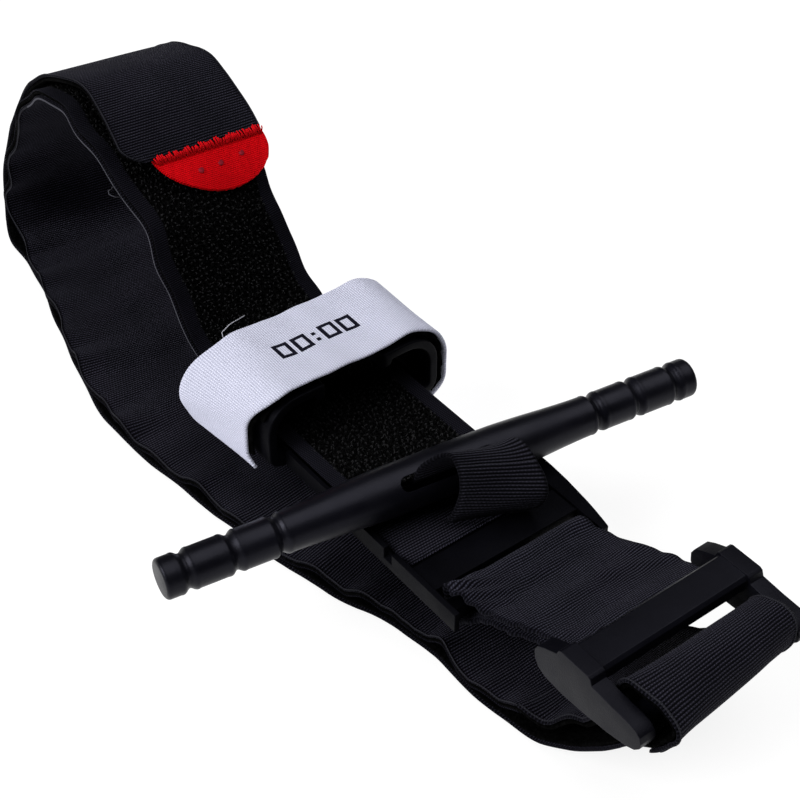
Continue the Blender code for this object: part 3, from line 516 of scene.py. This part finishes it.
# Arclengths along the band, found from places (x, z) on it, and the blends across its two bends.
BAND = band_path()
WRAP_OUT = BAND.nearest(79.2, 22.2, BAND.nearest(83.4, 29.2))
TABLE_END = BAND.nearest(-150, 0.0, WRAP_OUT)
WRAP_START = BAND.nearest(48, 6.6)
DESCENT_END = BAND.nearest(42, 0.0, WRAP_OUT)
ARCH_START = BAND.nearest(-174, 6.0, WRAP_OUT)
BAND_CREST = BAND.nearest(-152, 54)
TO_BUCKLE = ("band", "buckle", (62, 6, 17), (69, 7, 27))
FROM_BUCKLE = ("buckle", "band", (80, 7, 19.6), (62, 4, 4.5))
TO_FREE_END = ("band", "free_end", (-131, 3, 70), (-120, 3, 70))


def build_band():
    """The two plies of the band in five stretches, cut where the body they follow changes."""
    standing, running = standing_shape(BAND), running_shape()
    # Name, start, end, body, shape, the pile's two heights, slot, and the nodes of the skin and the pile.
    stretches = [
        ("standing", 0.0, WRAP_START, "band", standing, STANDING_PILE, "standing_band",
         ["standing_band_skin"], ["standing_band_pile", "tension_strap_core"]),
        ("climb", WRAP_START, WRAP_OUT, TO_BUCKLE, standing, None, "buckle_wrap",
         ["buckle_wrap_skin"], ["buckle_wrap_pile"]),
        ("descent", WRAP_OUT, DESCENT_END, FROM_BUCKLE, running, RUNNING_PILE, "running_end", [], []),
        ("table", DESCENT_END, TABLE_END, "band", running, RUNNING_PILE, "running_end",
         ["running_end_skin"], ["running_end_pile"]),
        ("arch", TABLE_END, BAND.length, TO_FREE_END, running, RUNNING_PILE, "free_end",
         ["free_end_skin"], ["free_end_pile"]),
    ]
    wrap = BAND.nearest(70.2, 31)
    for name, start, end, body, shape, pile, slot, skin_nodes, pile_nodes in stretches:
        item = ribbon(name + "_skin", BAND, start, end, BAND_WIDTH, SKIN, SKIN_CLOTH, shape)
        ride(item, body, slot + "_skin", *skin_nodes)
        if pile:
            begin, finish = max(start, PILE_FROM), min(end, BAND.length - PILE_SHORT_BY)
            item = ribbon(name + "_pile", BAND, begin, finish, PILE_WIDTH, pile, PILE_CLOTH, shape)
            ride(item, body, slot + "_pile", *pile_nodes)
        else:
            item = ribbon("climb_pile", BAND, start, wrap, PILE_WIDTH, STANDING_PILE, PILE_CLOTH, shape)
            ride(item, body, "standing_band_pile")
            item = ribbon("wrap_pile", BAND, wrap, end, PILE_WIDTH, RUNNING_PILE, PILE_CLOTH, shape)
            ride(item, body, slot + "_pile", *pile_nodes)


def build_selvages():
    """Woven edges of the pile ply, and the threads along each selvage of the ribbed ply."""
    shape = standing_shape(BAND)
    seam_start, wrap_edge = BAND.nearest(-62, 20), BAND.nearest(83, 22, WRAP_START)
    for name, side in (("near", -1), ("far", 1)):
        seam = "edge_seam_" + name
        item = ribbon("pile_selvage_" + name, BAND, PILE_FROM, WRAP_START, 4.0, (1.9, 2.3), SELVAGE_CLOTH,
                      shape, side * 16.8, columns=8)
        ride(item, "band", "standing_band_pile")
        item = ribbon("edge_thread_" + name, BAND, seam_start, BAND_CREST, 0.3, (-0.3, 0.15), EDGE_THREAD,
                      shape, side * THREAD_AT, columns=2)
        ride(item, "band", seam, seam)
        item = ribbon("edge_thread_low_" + name, BAND, BAND_CREST, WRAP_START, 0.36, (-0.3, 0.2),
                      BLACK_THREAD, shape, side * THREAD_AT, columns=2)
        ride(item, "band", seam)
        item = ribbon("edge_thread_climb_" + name, BAND, WRAP_START, wrap_edge, 0.5, (-0.28, 0.1),
                      BLACK_THREAD, shape, side * 18.3, columns=2)
        ride(item, TO_BUCKLE, seam)
    shape = running_shape()
    for name, side in (("near", -1), ("far", 1)):
        item = ribbon("arch_thread_" + name, BAND, ARCH_START, BAND.length - 0.3, 0.34, (-0.2, 0.15),
                      BLACK_THREAD, shape, side * 18.8, columns=2)
        ride(item, TO_FREE_END, "running_end_skin")


def curl_mesh(name, s, a, seed, shape, material, radius, size, tall):
    """Curls of pile yarn standing up from the band: arcs in every direction, in one mesh.

    s and a are the curls' places along and across the band; size and tall are the ranges of their
    half spans and heights.
    """
    rng = np.random.default_rng(seed)
    count = len(s)
    place, wide, normal = BAND.read(s)
    along = np.cross(normal, wide)
    move, lift = shape(s, a)
    base = place + wide * (a + move)[:, None] + normal * (STANDING_PILE[1] + lift)[:, None]
    turn = rng.uniform(0, 2 * math.pi, count)
    lay = wide * np.cos(turn)[:, None] + along * np.sin(turn)[:, None]
    cross = np.cross(normal, lay)
    wide_by, tall_by = rng.uniform(*size, count), rng.uniform(*tall, count)
    lean = rng.uniform(-0.5, 0.5, count)
    sides, steps, sunk = 4 if radius > 0.12 else 3, 6, 0.12
    verts = np.empty((count, steps, sides, 3))
    for i in range(steps):
        angle = math.pi * (i / (steps - 1) * 1.15 - 0.05)
        spot = base + lay * (np.cos(angle) * wide_by)[:, None]
        spot = spot + normal * (math.sin(angle) * tall_by - sunk)[:, None]
        spot = spot + cross * (lean * math.sin(angle))[:, None]
        out = lay * math.cos(angle) + normal * math.sin(angle)
        for k in range(sides):
            t = 2 * math.pi * k / sides
            verts[:, i, k] = spot + (out * math.cos(t) + cross * math.sin(t)) * radius
    faces = []
    ring = steps * sides
    for c in range(count):
        faces += ring_faces(steps, sides, c * ring, capped=False)
    uv = np.zeros((count * ring, 2), np.float32)
    uv[:, 0] = np.repeat(a, ring)
    uv[:, 1] = np.repeat(s, ring) + np.tile(np.repeat(np.arange(steps) * 0.25, sides), count)
    return make_object(name, verts.reshape(-1, 3), faces, material, uv=uv)


def build_curls():
    """Curls over the standing pile where it shows: a fine undergrowth in a darker colour, which is painted
    shade, and larger knobs in a lighter colour, which is painted highlight.
    """
    shape = standing_shape(BAND)
    start, crest, half, pitch, many = PILE_FROM + 0.5, BAND.nearest(-147, 58), 14.9, 1.32, 13000
    rng = np.random.default_rng(21)
    s, a = rng.uniform(start, crest, many), rng.uniform(-half, half, many)
    item = curl_mesh("pile_undergrowth", s, a, 22, shape, CURL_THREAD, 0.085, (0.25, 0.5), (0.3, 0.65))
    ride(item, "band", "standing_band_pile")
    s, a = np.meshgrid(np.arange(start, crest, pitch), np.arange(-half, half, pitch), indexing="ij")
    a = a + (np.arange(a.shape[0]) % 2)[:, None] * pitch / 2
    jitter = rng.uniform(-0.5, 0.5, (2, s.size))
    s, a = s.ravel() + jitter[0], np.clip(a.ravel() + jitter[1], -half, half)
    item = curl_mesh("pile_knobs", s, a, 23, shape, KNOB_THREAD, 0.15, (0.16, 0.34), (0.45, 0.72))
    ride(item, "band", "standing_band_pile")


build_band()
build_selvages()
build_curls()


# ------------------------------------------------------------------ free end and its red tab
def build_tab():
    """The red tab under the free end: a cupped half round, blunter at its far end, with weld dots."""
    place, wide, normal = (v[0] for v in BAND.read([BAND.length]))
    along = np.cross(normal, wide)
    half, reach, lap, thick = 15.2, 12.0, 1.5, 0.9
    set_far, set_out, set_below, skew = 3.8, 0.5, 0.75, 0.15
    rows, cols = 26, 64

    def rim_at(a):
        """How far the tab reaches at a distance a across it."""
        power = 1.75 if a < 0 else 2.3
        return reach * max(1 - abs(a / half) ** power, 0.0) ** (1 / power)

    def spot(a, b, face):
        """A point a across the tab, b out from the band's end and face up from its lower side."""
        share = max(b, 0) / reach
        dip = 0.4 * math.sin(a * 0.22 + 0.8) * share + 2.4 * share**2
        dip += 0.10 * math.sin(a * 0.9) * share + 0.06 * math.sin(a * 2.3 + b)
        out = set_out + b * (1 - 0.05 * share)
        return place + wide * (a + set_far + skew * b) + along * out + normal * (face + set_below + dip)

    verts, uv = [], []
    for face in (thick, 0.0):
        for i in range(rows + 1):
            for j in range(cols + 1):
                a = half * math.sin(math.pi * (j / cols - 0.5))
                edge = rim_at(a) + 0.10 * math.sin(a * 3.1) * (abs(a) < half - 0.5)
                b = -lap + (edge + lap) * i / rows
                verts.append(spot(a, b, face))
                uv.append((a, b))
    faces = []
    size = (rows + 1) * (cols + 1)
    for layer in (0, 1):
        for i in range(rows):
            for j in range(cols):
                k = layer * size + i * (cols + 1) + j
                quad = (k, k + 1, k + cols + 2, k + cols + 1)
                faces.append(quad if layer else quad[::-1])
    rim = list(range(cols + 1))
    rim += [i * (cols + 1) + cols for i in range(1, rows + 1)]
    rim += [rows * (cols + 1) + j for j in range(cols - 1, -1, -1)]
    rim += [i * (cols + 1) for i in range(rows - 1, 0, -1)]
    for k, one in enumerate(rim):
        two = rim[(k + 1) % len(rim)]
        faces.append((one, two, two + size, one + size))
    tab = make_object("red_tab", verts, faces, RED_CLOTH, uv=uv, sharp=50)
    ride(tab, "free_end", "tip_tab", "tip_tab")

    dots = [[spot(a, b, -0.1), spot(a, b, 0.2)] for a, b in ((-5.4, 5.4), (0.4, 5.0), (6.8, 4.2))]
    welds = tube("weld_dots", dots, 0.75, WELD_RED, 14)
    ride(welds, "free_end", "tip_tab")

    # A ragged, overcast seam where the band's end meets the tab.
    rng = np.random.default_rng(8)
    stitches = []
    for a in np.arange(-14.9, 15.0, 0.36):  # pitch 0.36 mm
        lean = rng.uniform(-0.5, 0.5, 2)
        reach_back = rng.uniform(0.3, 1.0) + 0.5 * math.sin(a * 0.8) ** 2
        stitches.append([spot(a + lean[0], -reach_back, -0.9), spot(a + lean[0] / 2, 0.0, -0.95),
                         spot(a + lean[1], 0.9, -0.15)])
    seam = tube("tab_seam", stitches, 0.2, RED_THREAD)
    ride(seam, "free_end", "tip_tab")


build_tab()


# ------------------------------------------------------------------ write-on strap over the clip
CLIP_WALL_Y, CLIP_FLOOR, CLIP_ROOF = 23.4, 18.4, 34.5
FOOT_R, SHOULDER_R = 2.5, 7.5
STRAP_MIDDLE, STRAP_WIDTH = -45.9, 25.0
STRAP_SPAN = (-0.45, 0.45)


def arc_points(centre, radius, start, end, steps=14):
    turns = np.radians(np.linspace(start, end, steps))
    return [(centre[0] + radius * math.cos(t), centre[1] + radius * math.sin(t)) for t in turns]


def strap_path(offset, near_foot, far_turn=90.0):
    """A path over both hooks in the (y, z) plane, from the near foot to under the far one."""
    foot, shoulder = CLIP_WALL_Y - FOOT_R, CLIP_WALL_Y - SHOULDER_R
    line = arc_points((-foot, CLIP_FLOOR + FOOT_R), FOOT_R + offset, 270 - near_foot, 180, 8)
    line += arc_points((-shoulder, CLIP_ROOF - SHOULDER_R), SHOULDER_R + offset, 180, 90)
    line += arc_points((shoulder, CLIP_ROOF - SHOULDER_R), SHOULDER_R + offset, 90, 0)
    line += arc_points((foot, CLIP_FLOOR + FOOT_R), FOOT_R + offset, 0, -far_turn, 8)
    if far_turn >= 90:
        line.append((4.0, CLIP_FLOOR - offset))
    points = np.array([(STRAP_MIDDLE, y + DECK_Y, z) for y, z in line])
    dense = []
    for one, two in zip(points, points[1:]):
        for u in np.linspace(0, 1, max(int(np.linalg.norm(two - one) / 0.5), 1), endpoint=False):
            dense.append(one + (two - one) * u)
    dense.append(points[-1])
    return Path(np.array(dense), np.tile([1.0, 0.0, 0.0], (len(dense), 1)))


WHITE_PATH, LINING_PATH = strap_path(3.95, 64.0), strap_path(2.8, 85.0, 60.0)


def strap_shape(s, a):
    """The strap stands off the near hook towards its back edge, and dips between the hooks.

    Its near end is drawn back (draw) and its weave wavers; s starts at the near foot.
    """
    near_hook, roof_middle = 9.0, 47.0
    back = np.clip((STRAP_WIDTH / 2 - a) / STRAP_WIDTH, 0, 1)
    near = np.exp(-((s - near_hook) / 9.5) ** 2)
    dip = -0.7 * np.exp(-((s - roof_middle) / 12.0) ** 2)
    waver = 0.12 * np.sin(s * 0.33 + a * 0.12) + 0.08 * np.sin(s * 0.71 - a * 0.2)
    ease = np.clip((24.0 - s) / 14.0, 0, 1)
    draw = -4.6 * ease**2 * (3 - 2 * ease) * (1.0 - 0.75 * back) + 2.4 * np.clip((3.0 - s) / 3.0, 0, 1)
    return 0.15 * np.sin(s * 0.4) + draw, 4.2 * back**1.3 * near + dip + waver


def lining_shape(s, a):
    """The lining follows the strap's bulge, with a fuzzy, uneven edge."""
    _, lift = strap_shape(s + 2.0, a)
    fuzz = 0.25 * np.sin(s * 1.3) + 0.15 * np.sin(s * 2.9)
    return fuzz - 3.2 * np.clip((22.0 - s) / 13.0, 0, 1), lift * 0.8


def build_time_strap():
    """The white strap, its black lining and the sewn end under the clip."""
    sewn = 33.0  # length of the sewn end, which stays on the clip when the strap is peeled
    peel = WHITE_PATH.length - sewn
    top = ribbon("write_on_strap", WHITE_PATH, 0.0, peel, STRAP_WIDTH, STRAP_SPAN, WHITE_CLOTH, strap_shape)
    ride(top, "time_strap", "time_strap", "time_strap")
    bend = ("time_strap", "band", (STRAP_MIDDLE, 27.5, 20.0), (STRAP_MIDDLE, 27.5, 16.0))
    low = ribbon("write_on_strap_sewn_end", WHITE_PATH, peel, WHITE_PATH.length, STRAP_WIDTH, STRAP_SPAN,
                 WHITE_CLOTH, strap_shape)
    ride(low, bend, "time_strap_anchor", "time_strap_anchor")
    lining = ribbon("strap_lining", LINING_PATH, 0.6, LINING_PATH.length, STRAP_WIDTH - 1.0, (-0.4, 0.5),
                    PILE_CLOTH, lining_shape)
    ride(lining, "time_strap", "time_strap_lining", "time_strap_lining")


def build_write_on_field():
    """Four blank boxes and a colon on the white strap, for writing a time in."""
    middle, pen, box, low, high = 41.0, 1.0, 4.1, -2.6, 2.8
    dot_half, dot_tall, ink_height = 0.55, 1.1, 0.47
    marks = []
    for start in (-11.0, -6.0, 1.9, 6.9):
        left, right = middle + start, middle + start + box
        marks += [(left, right, low, low + pen), (left, right, high - pen, high)]
        marks += [(left, left + pen, low, high), (right - pen, right, low, high)]
    for base in (-1.5, 0.9):
        marks.append((middle - dot_half, middle + dot_half, base, base + dot_tall))
    verts, faces, uv = [], [], []
    for s0, s1, a0, a1 in marks:
        n = max(int((s1 - s0) / 0.5), 1)
        first = len(verts)
        for s in np.linspace(s0, s1, n + 1):
            verts += [spot_on(WHITE_PATH, strap_shape, s, a, ink_height) for a in (a0, a1)]
            uv += [(a0, s), (a1, s)]
        corners = range(first, first + 2 * n, 2)
        faces += [(k, k + 1, k + 3, k + 2) for k in corners]
    ride(make_object("write_on_field", verts, faces, PRINT_INK, uv=uv), "time_strap", "time_strap")


def build_loose_threads():
    """A white thread end off the strap's back edge, and a pulled loop on the band's near edge."""
    spots = []
    for s, a, height in ((23.5, -12.5, 0.0), (24.0, -13.4, 1.0), (26.5, -14.0, 1.4), (30.5, -13.8, 2.5)):
        spots.append(spot_on(WHITE_PATH, strap_shape, s, a, height))
    ride(tube("strap_loose_thread", [spots], 0.11, WHITE_THREAD), "time_strap", "time_strap")
    shape, first = standing_shape(BAND), BAND.nearest(-106, 52)
    spots = []
    for run, out in ((0.0, 0.0), (0.3, 1.5), (1.3, 2.6), (2.3, 2.2), (2.6, 1.0), (3.4, 0.0)):
        spots.append(spot_on(BAND, shape, first + run, -19.0, 0.3 * out - 0.1, -out))
    ride(tube("edge_pulled_loop", [spots], 0.12, EDGE_THREAD), "band", "edge_seam_near")


build_time_strap()
build_write_on_field()
build_loose_threads()


# ------------------------------------------------------------------ moulded parts
def moulded(node, name, body, width, segments=3, material=PLASTIC):
    """A copy of a CAD node with rounded edges of the given width."""
    flat, corner, crease = math.radians(1.0), math.radians(28), math.radians(40)
    bm = bmesh.new()
    bm.from_mesh(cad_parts[node].data)
    bmesh.ops.remove_doubles(bm, verts=bm.verts, dist=1e-6)
    bmesh.ops.dissolve_limit(bm, angle_limit=flat, verts=bm.verts, edges=bm.edges)
    bmesh.ops.recalc_face_normals(bm, faces=bm.faces)
    edges = [e for e in bm.edges if len(e.link_faces) == 2 and e.calc_face_angle(0) > corner]
    bmesh.ops.bevel(bm, geom=edges, offset=width * MM, segments=segments, profile=0.6, affect="EDGES",
                    clamp_overlap=True)
    mesh = bpy.data.meshes.new(name)
    bm.to_mesh(mesh)
    bm.free()
    mesh.shade_smooth()
    mesh.set_sharp_from_angle(angle=crease)
    mesh.materials.append(material)
    return ride(add_to_scene(name, mesh), body, node, node)


moulded("stabilizer_plate", "plate_moulding", "band", 0.35)
moulded("windlass_clip", "clip_moulding", "band", 0.5)
moulded("buckle_frame", "buckle_moulding", "buckle", 1.0, 4, BUCKLE_PLASTIC)
for pad in ("clip_hook_pad_near", "clip_hook_pad_far"):
    moulded(pad, pad + "_tape", "band", 0.12, 1, PILE_CLOTH)


# ------------------------------------------------------------------ windlass rod
# Its height and yaw, the tilt of its slot, its half length, its radii, and its own axes.
ROD_Z, ROD_YAW, SLOT_TILT = 28.7, math.radians(8.4), math.radians(48.0)
ROD_HALF, ROD_MIDDLE_R, ROD_END_R, ROD_ROUND = 67.3, 5.85, 4.65, 0.9
ROD_FOOT = ROD_Z - ROD_MIDDLE_R - 0.1
ALONG = Vector((math.sin(ROD_YAW), math.cos(ROD_YAW), 0.0))
LEVEL = Vector((math.cos(ROD_YAW), -math.sin(ROD_YAW), 0.0))
OUT = LEVEL * math.cos(SLOT_TILT) + Vector((0, 0, 1)) * math.sin(SLOT_TILT)


def rod_radius(t):
    """The turned profile: a thick middle, a taper, three lipped grooves and a rounded end."""
    t = abs(t)
    taper_from, taper_run, groove_half, lip_end = 12.0, 28.0, 1.3, 2.1
    taper = min(max((t - taper_from) / taper_run, 0.0), 1.0)
    r = ROD_MIDDLE_R + (ROD_END_R - ROD_MIDDLE_R) * taper * taper * (3 - 2 * taper)
    for groove in (40.4, 51.0, 61.9):
        away = abs(t - groove)
        if away < groove_half:
            r -= 0.78 * (0.5 + 0.5 * math.cos(math.pi * away / groove_half)) ** 0.7
        elif away < lip_end:
            r += 0.10 * math.sin(math.pi * (away - groove_half) / (lip_end - groove_half))
    edge = ROD_HALF - t
    if edge < ROD_ROUND:
        r -= ROD_ROUND - math.sqrt(max(ROD_ROUND**2 - (ROD_ROUND - edge) ** 2, 0.0))
    return r


def slot_cutter():
    """A block with rounded ends, which cuts the slot through the rod's middle."""
    reach, round_r, flat = 9.0, 1.8, 10.2  # half depth, half width, and half length of the straight sides
    outline = arc_points((0.0, flat), round_r, 0, 180, 13) + arc_points((0.0, -flat), round_r, 180, 360, 13)
    n = len(outline)
    verts = [(x, y, z) for x in (-reach, reach) for y, z in outline]
    faces = [(k, (k + 1) % n, n + (k + 1) % n, n + k) for k in range(n)]
    faces += [tuple(range(n))[::-1], tuple(range(n, 2 * n))]
    cutter = make_object("slot_cut", verts, faces, ROD_PLASTIC)
    bm = bmesh.new()
    bm.from_mesh(cutter.data)
    bmesh.ops.recalc_face_normals(bm, faces=bm.faces)
    bm.to_mesh(cutter.data)
    bm.free()
    return cutter


def build_rod():
    """The rod as a fine turned mesh, with the slot cut through its middle."""
    stations = [-ROD_HALF + ROD_ROUND * (1 - math.cos(math.pi / 2 * i / 5)) for i in range(6)]
    stations += list(np.arange(-ROD_HALF + 1.2, ROD_HALF - 1.1, 0.4))
    stations += [-t for t in stations[5::-1]]
    sides = 72
    turns = np.arange(sides) * 2 * math.pi / sides
    verts = []
    for t in stations:
        r = rod_radius(t)
        verts += [(r * math.cos(a), r * math.sin(a), t) for a in turns]
    rod = make_object("rod_turned", verts, ring_faces(len(stations), sides), ROD_PLASTIC)

    cutter = slot_cutter()
    cut = rod.modifiers.new("slot", "BOOLEAN")
    cut.object = cutter
    cut.operation = "DIFFERENCE"
    cut.solver = "EXACT"
    bevel = rod.modifiers.new("rim", "BEVEL")
    bevel.width = 0.25 * MM
    bevel.segments = 2
    bevel.limit_method = "ANGLE"
    bevel.angle_limit = math.radians(38)
    graph = bpy.context.evaluated_depsgraph_get()
    mesh = bpy.data.meshes.new_from_object(rod.evaluated_get(graph))
    bpy.data.objects.remove(cutter)
    bpy.data.objects.remove(rod)
    turn = Matrix((OUT, ALONG.cross(OUT), ALONG)).transposed().to_4x4()
    mesh.transform(Matrix.Translation(Vector((0, 0, ROD_Z)) * MM) @ turn)
    mesh.set_sharp_from_angle(angle=math.radians(32))
    ride(add_to_scene("rod_turned", mesh), "windlass", "windlass_rod", "windlass_rod")


build_rod()


# ------------------------------------------------------------------ tension strap
def build_tension_strap():
    """The slack loop of the tension strap: up through the slot, over, and down to the plate."""
    out, yaw = np.array(OUT), -math.degrees(ROD_YAW)
    middle = np.array([0.0, 1.5, ROD_Z + 0.2])
    foot, over = middle - out * 7.4, middle + out * 7.2 + np.array([-0.9, 1.0, 0.7])
    path = Path(*turned(smooth_curve([
        (*foot, yaw, 0), (*(middle - out * 3), yaw, 0), (*middle, yaw, 0),
        (*(middle + out * 4), yaw, 0), (*over, yaw - 2, 5), (8.0, 6.6, 37.0, -14, 14),
        (12.6, 6.6, 35.2, -25, 8), (15.2, 5.6, 31.2, -34, 2), (14.8, 4.6, 26.8, -32, 0),
        (12.4, 3.8, 22.9, -24, 0),
    ], 0.3)))
    riser = Path(*turned(smooth_curve([(foot[0], foot[1], z, yaw, 0) for z in (20.2, 21.5, ROD_FOOT)], 0.3)))
    wobble = ripple(31, (9, 14), 0.2)
    crown, top = path.nearest(9.0, 36.6, 14), path.nearest(11.0, 34.9, 14)

    def shape(s, a):
        slump = 1.9 * np.exp(-(((s - crown) / 5.0) ** 2)) * edge_weight(a, 1, LOOP_WIDTH, 2)
        return -0.9 * slump, wobble(s + a * 0.4) * np.clip((s - 12) / 6, 0, 1) - slump

    # Piece, path, start, end, body, and the nodes it stands for.
    node = "tension_strap_loop"
    for name, line, start, end, body, nodes in (
        ("below", riser, 0.0, riser.length, ("band", "tension_strap", (0, 0, 20.5), (0, 0, ROD_FOOT)), []),
        ("in_slot", path, 0.0, top, ("tension_strap", "windlass", (11.0, 6.0, 34), (5.5, 1.0, 34)), []),
        ("slack", path, top, path.length, ("band", "tension_strap", (0, 0, 22.5), (0, 0, 34)), [node]),
    ):
        item = ribbon("tension_strap_" + name, line, start, end, LOOP_WIDTH, (-0.5, 0.5), LOOP_CLOTH, shape,
                      step=0.4, columns=16)
        ride(item, body, node, *nodes)


build_tension_strap()


# ------------------------------------------------------------------ tether
def build_tether():
    """The tether: a folded length of webbing round the plate's end bar and the buckle's inner bar."""
    x0, z0, x1, z1 = 27.4, 19.9, 57.0, 25.6  # the middles of the two bars
    start_r, end_r, half, wrap = 2.9, 2.3, 0.6, 24
    slope = math.degrees(math.atan2(z1 - z0, x1 - x0))
    line = arc_points((x1, z1), end_r + half, -90 + slope - wrap, 90 + slope + wrap)
    share = [0.75, 0.5, 0.25]
    run = np.array([x1 - x0, z1 - z0])
    up = np.array([-run[1], run[0]]) / np.linalg.norm(run)
    ply_off, sag_up = 0.9, 0.9  # how far each ply lies off the line between the bars, and the upper one's bow
    start = np.array([x0, z0])
    line += [tuple(start + run * w + up * (ply_off + sag_up * math.sin(math.pi * w))) for w in share]
    line += arc_points((x0, z0), start_r + half, 90 + slope - wrap, 270 + slope + wrap)
    line += [tuple(start + run * w - up * ply_off) for w in reversed(share)]
    line.append(line[0])
    rows = []
    for x, z in line:
        share_x = min(max((x - x0) / (x1 - x0) / 0.75, 0.0), 1.0)
        rows.append((x, DECK_Y + (BUCKLE_Y - DECK_Y) * share_x, z, 0, 0))
    path = Path(*turned(smooth_curve(rows, 0.4)))
    near, far = ripple(41, (3.7, 6.5, 13), 0.8), ripple(42, (5.5, 9, 15), 0.6)
    pucker = ripple(43, (7, 11, 15), 0.45)
    fold_at = path.nearest(26, 23)

    def shape(s, a):
        side = -near(s) * edge_weight(a, -1, TETHER_WIDTH, 2) + far(s) * edge_weight(a, 1, TETHER_WIDTH, 2)
        crush = np.exp(-(((s - fold_at) / 9.0) ** 2)) * np.clip((-a - 6) / 12, 0, 1)
        lift = pucker(s + a * 0.3) * (edge_weight(a, -1, TETHER_WIDTH) + edge_weight(a, 1, TETHER_WIDTH))
        fold = 0.35 * np.sin(s * 0.55 + 0.6) * np.cos(a * 0.09)
        fold = fold + crush * (0.9 + 0.7 * np.sin(s * 1.5 + a * 0.8))
        return side * 0.8, np.maximum(lift, -0.1) + np.maximum(fold, 0)

    item = ribbon("tether_strap", path, 0.0, path.length, TETHER_WIDTH, (-half, half), TETHER_CLOTH, shape,
                  step=0.5, columns=28)
    ride(item, "band", "tether_webbing", "tether_webbing")


build_tether()


# ------------------------------------------------------------------ stage, lights and camera
def build_lamp(name, come_from, strength, spread):
    """A wide, even light from one direction."""
    light = bpy.data.lights.new(name, "SUN")
    light.energy = strength
    light.angle = math.radians(spread)
    item = add_to_scene(name, light)
    item.rotation_mode = "QUATERNION"
    item.rotation_quaternion = Vector(come_from).to_track_quat("Z", "Y")


def build_stage():
    """A plain pale floor that glows a little, so shadows stay faint, and soft light from all round."""
    sh = Shader("floor", Specular_IOR_Level=0.1)
    tone = sh.noise(sh.solid(), 3.0, 2)
    sh.main.inputs["Emission Color"].default_value = (1.0, 1.0, 1.0, 1.0)
    sh.main.inputs["Emission Strength"].default_value = 0.86
    paint = sh.finish(sh.blend(tone, (0.19, 0.19, 0.19), (0.21, 0.21, 0.21)), 0.9, tone, 0.01)
    size, level = 6000.0, -0.4
    corners = [(-size, -size, level), (size, -size, level), (size, size, level), (-size, size, level)]
    make_object("floor", corners, [(0, 1, 2, 3)], paint)

    world = bpy.data.worlds.new("studio")
    world.use_nodes = True
    world.node_tree.nodes["Background"].inputs[0].default_value = (1.0, 1.0, 1.0, 1.0)
    world.node_tree.nodes["Background"].inputs[1].default_value = 0.03
    bpy.context.scene.world = world
    bpy.context.scene.view_settings.view_transform = "Standard"
    build_lamp("key", (-0.25, -0.85, 0.60), 2.9, 38)
    build_lamp("top", (0.05, 0.25, 1.0), 1.9, 60)


def build_camera():
    """The camera, which looks down at the loop from its near right side."""
    camera = bpy.data.cameras.new("camera")
    camera.sensor_width = 36.0
    camera.lens = 76.5
    camera.clip_start, camera.clip_end = 0.01, 20.0
    elevation, azimuth, distance = math.radians(41.13), math.radians(52.58), 405.9
    look_at = Vector((-30.75, 12.28, 22.0))
    back = Vector((math.sin(azimuth) * math.cos(elevation), -math.cos(azimuth) * math.cos(elevation),
                   math.sin(elevation)))
    item = add_to_scene("camera", camera)
    item.location = (look_at + back * distance) * MM
    item.rotation_mode = "QUATERNION"
    item.rotation_quaternion = (-back).to_track_quat("-Z", "Y")
    bpy.context.scene.camera = item


build_stage()
build_camera()
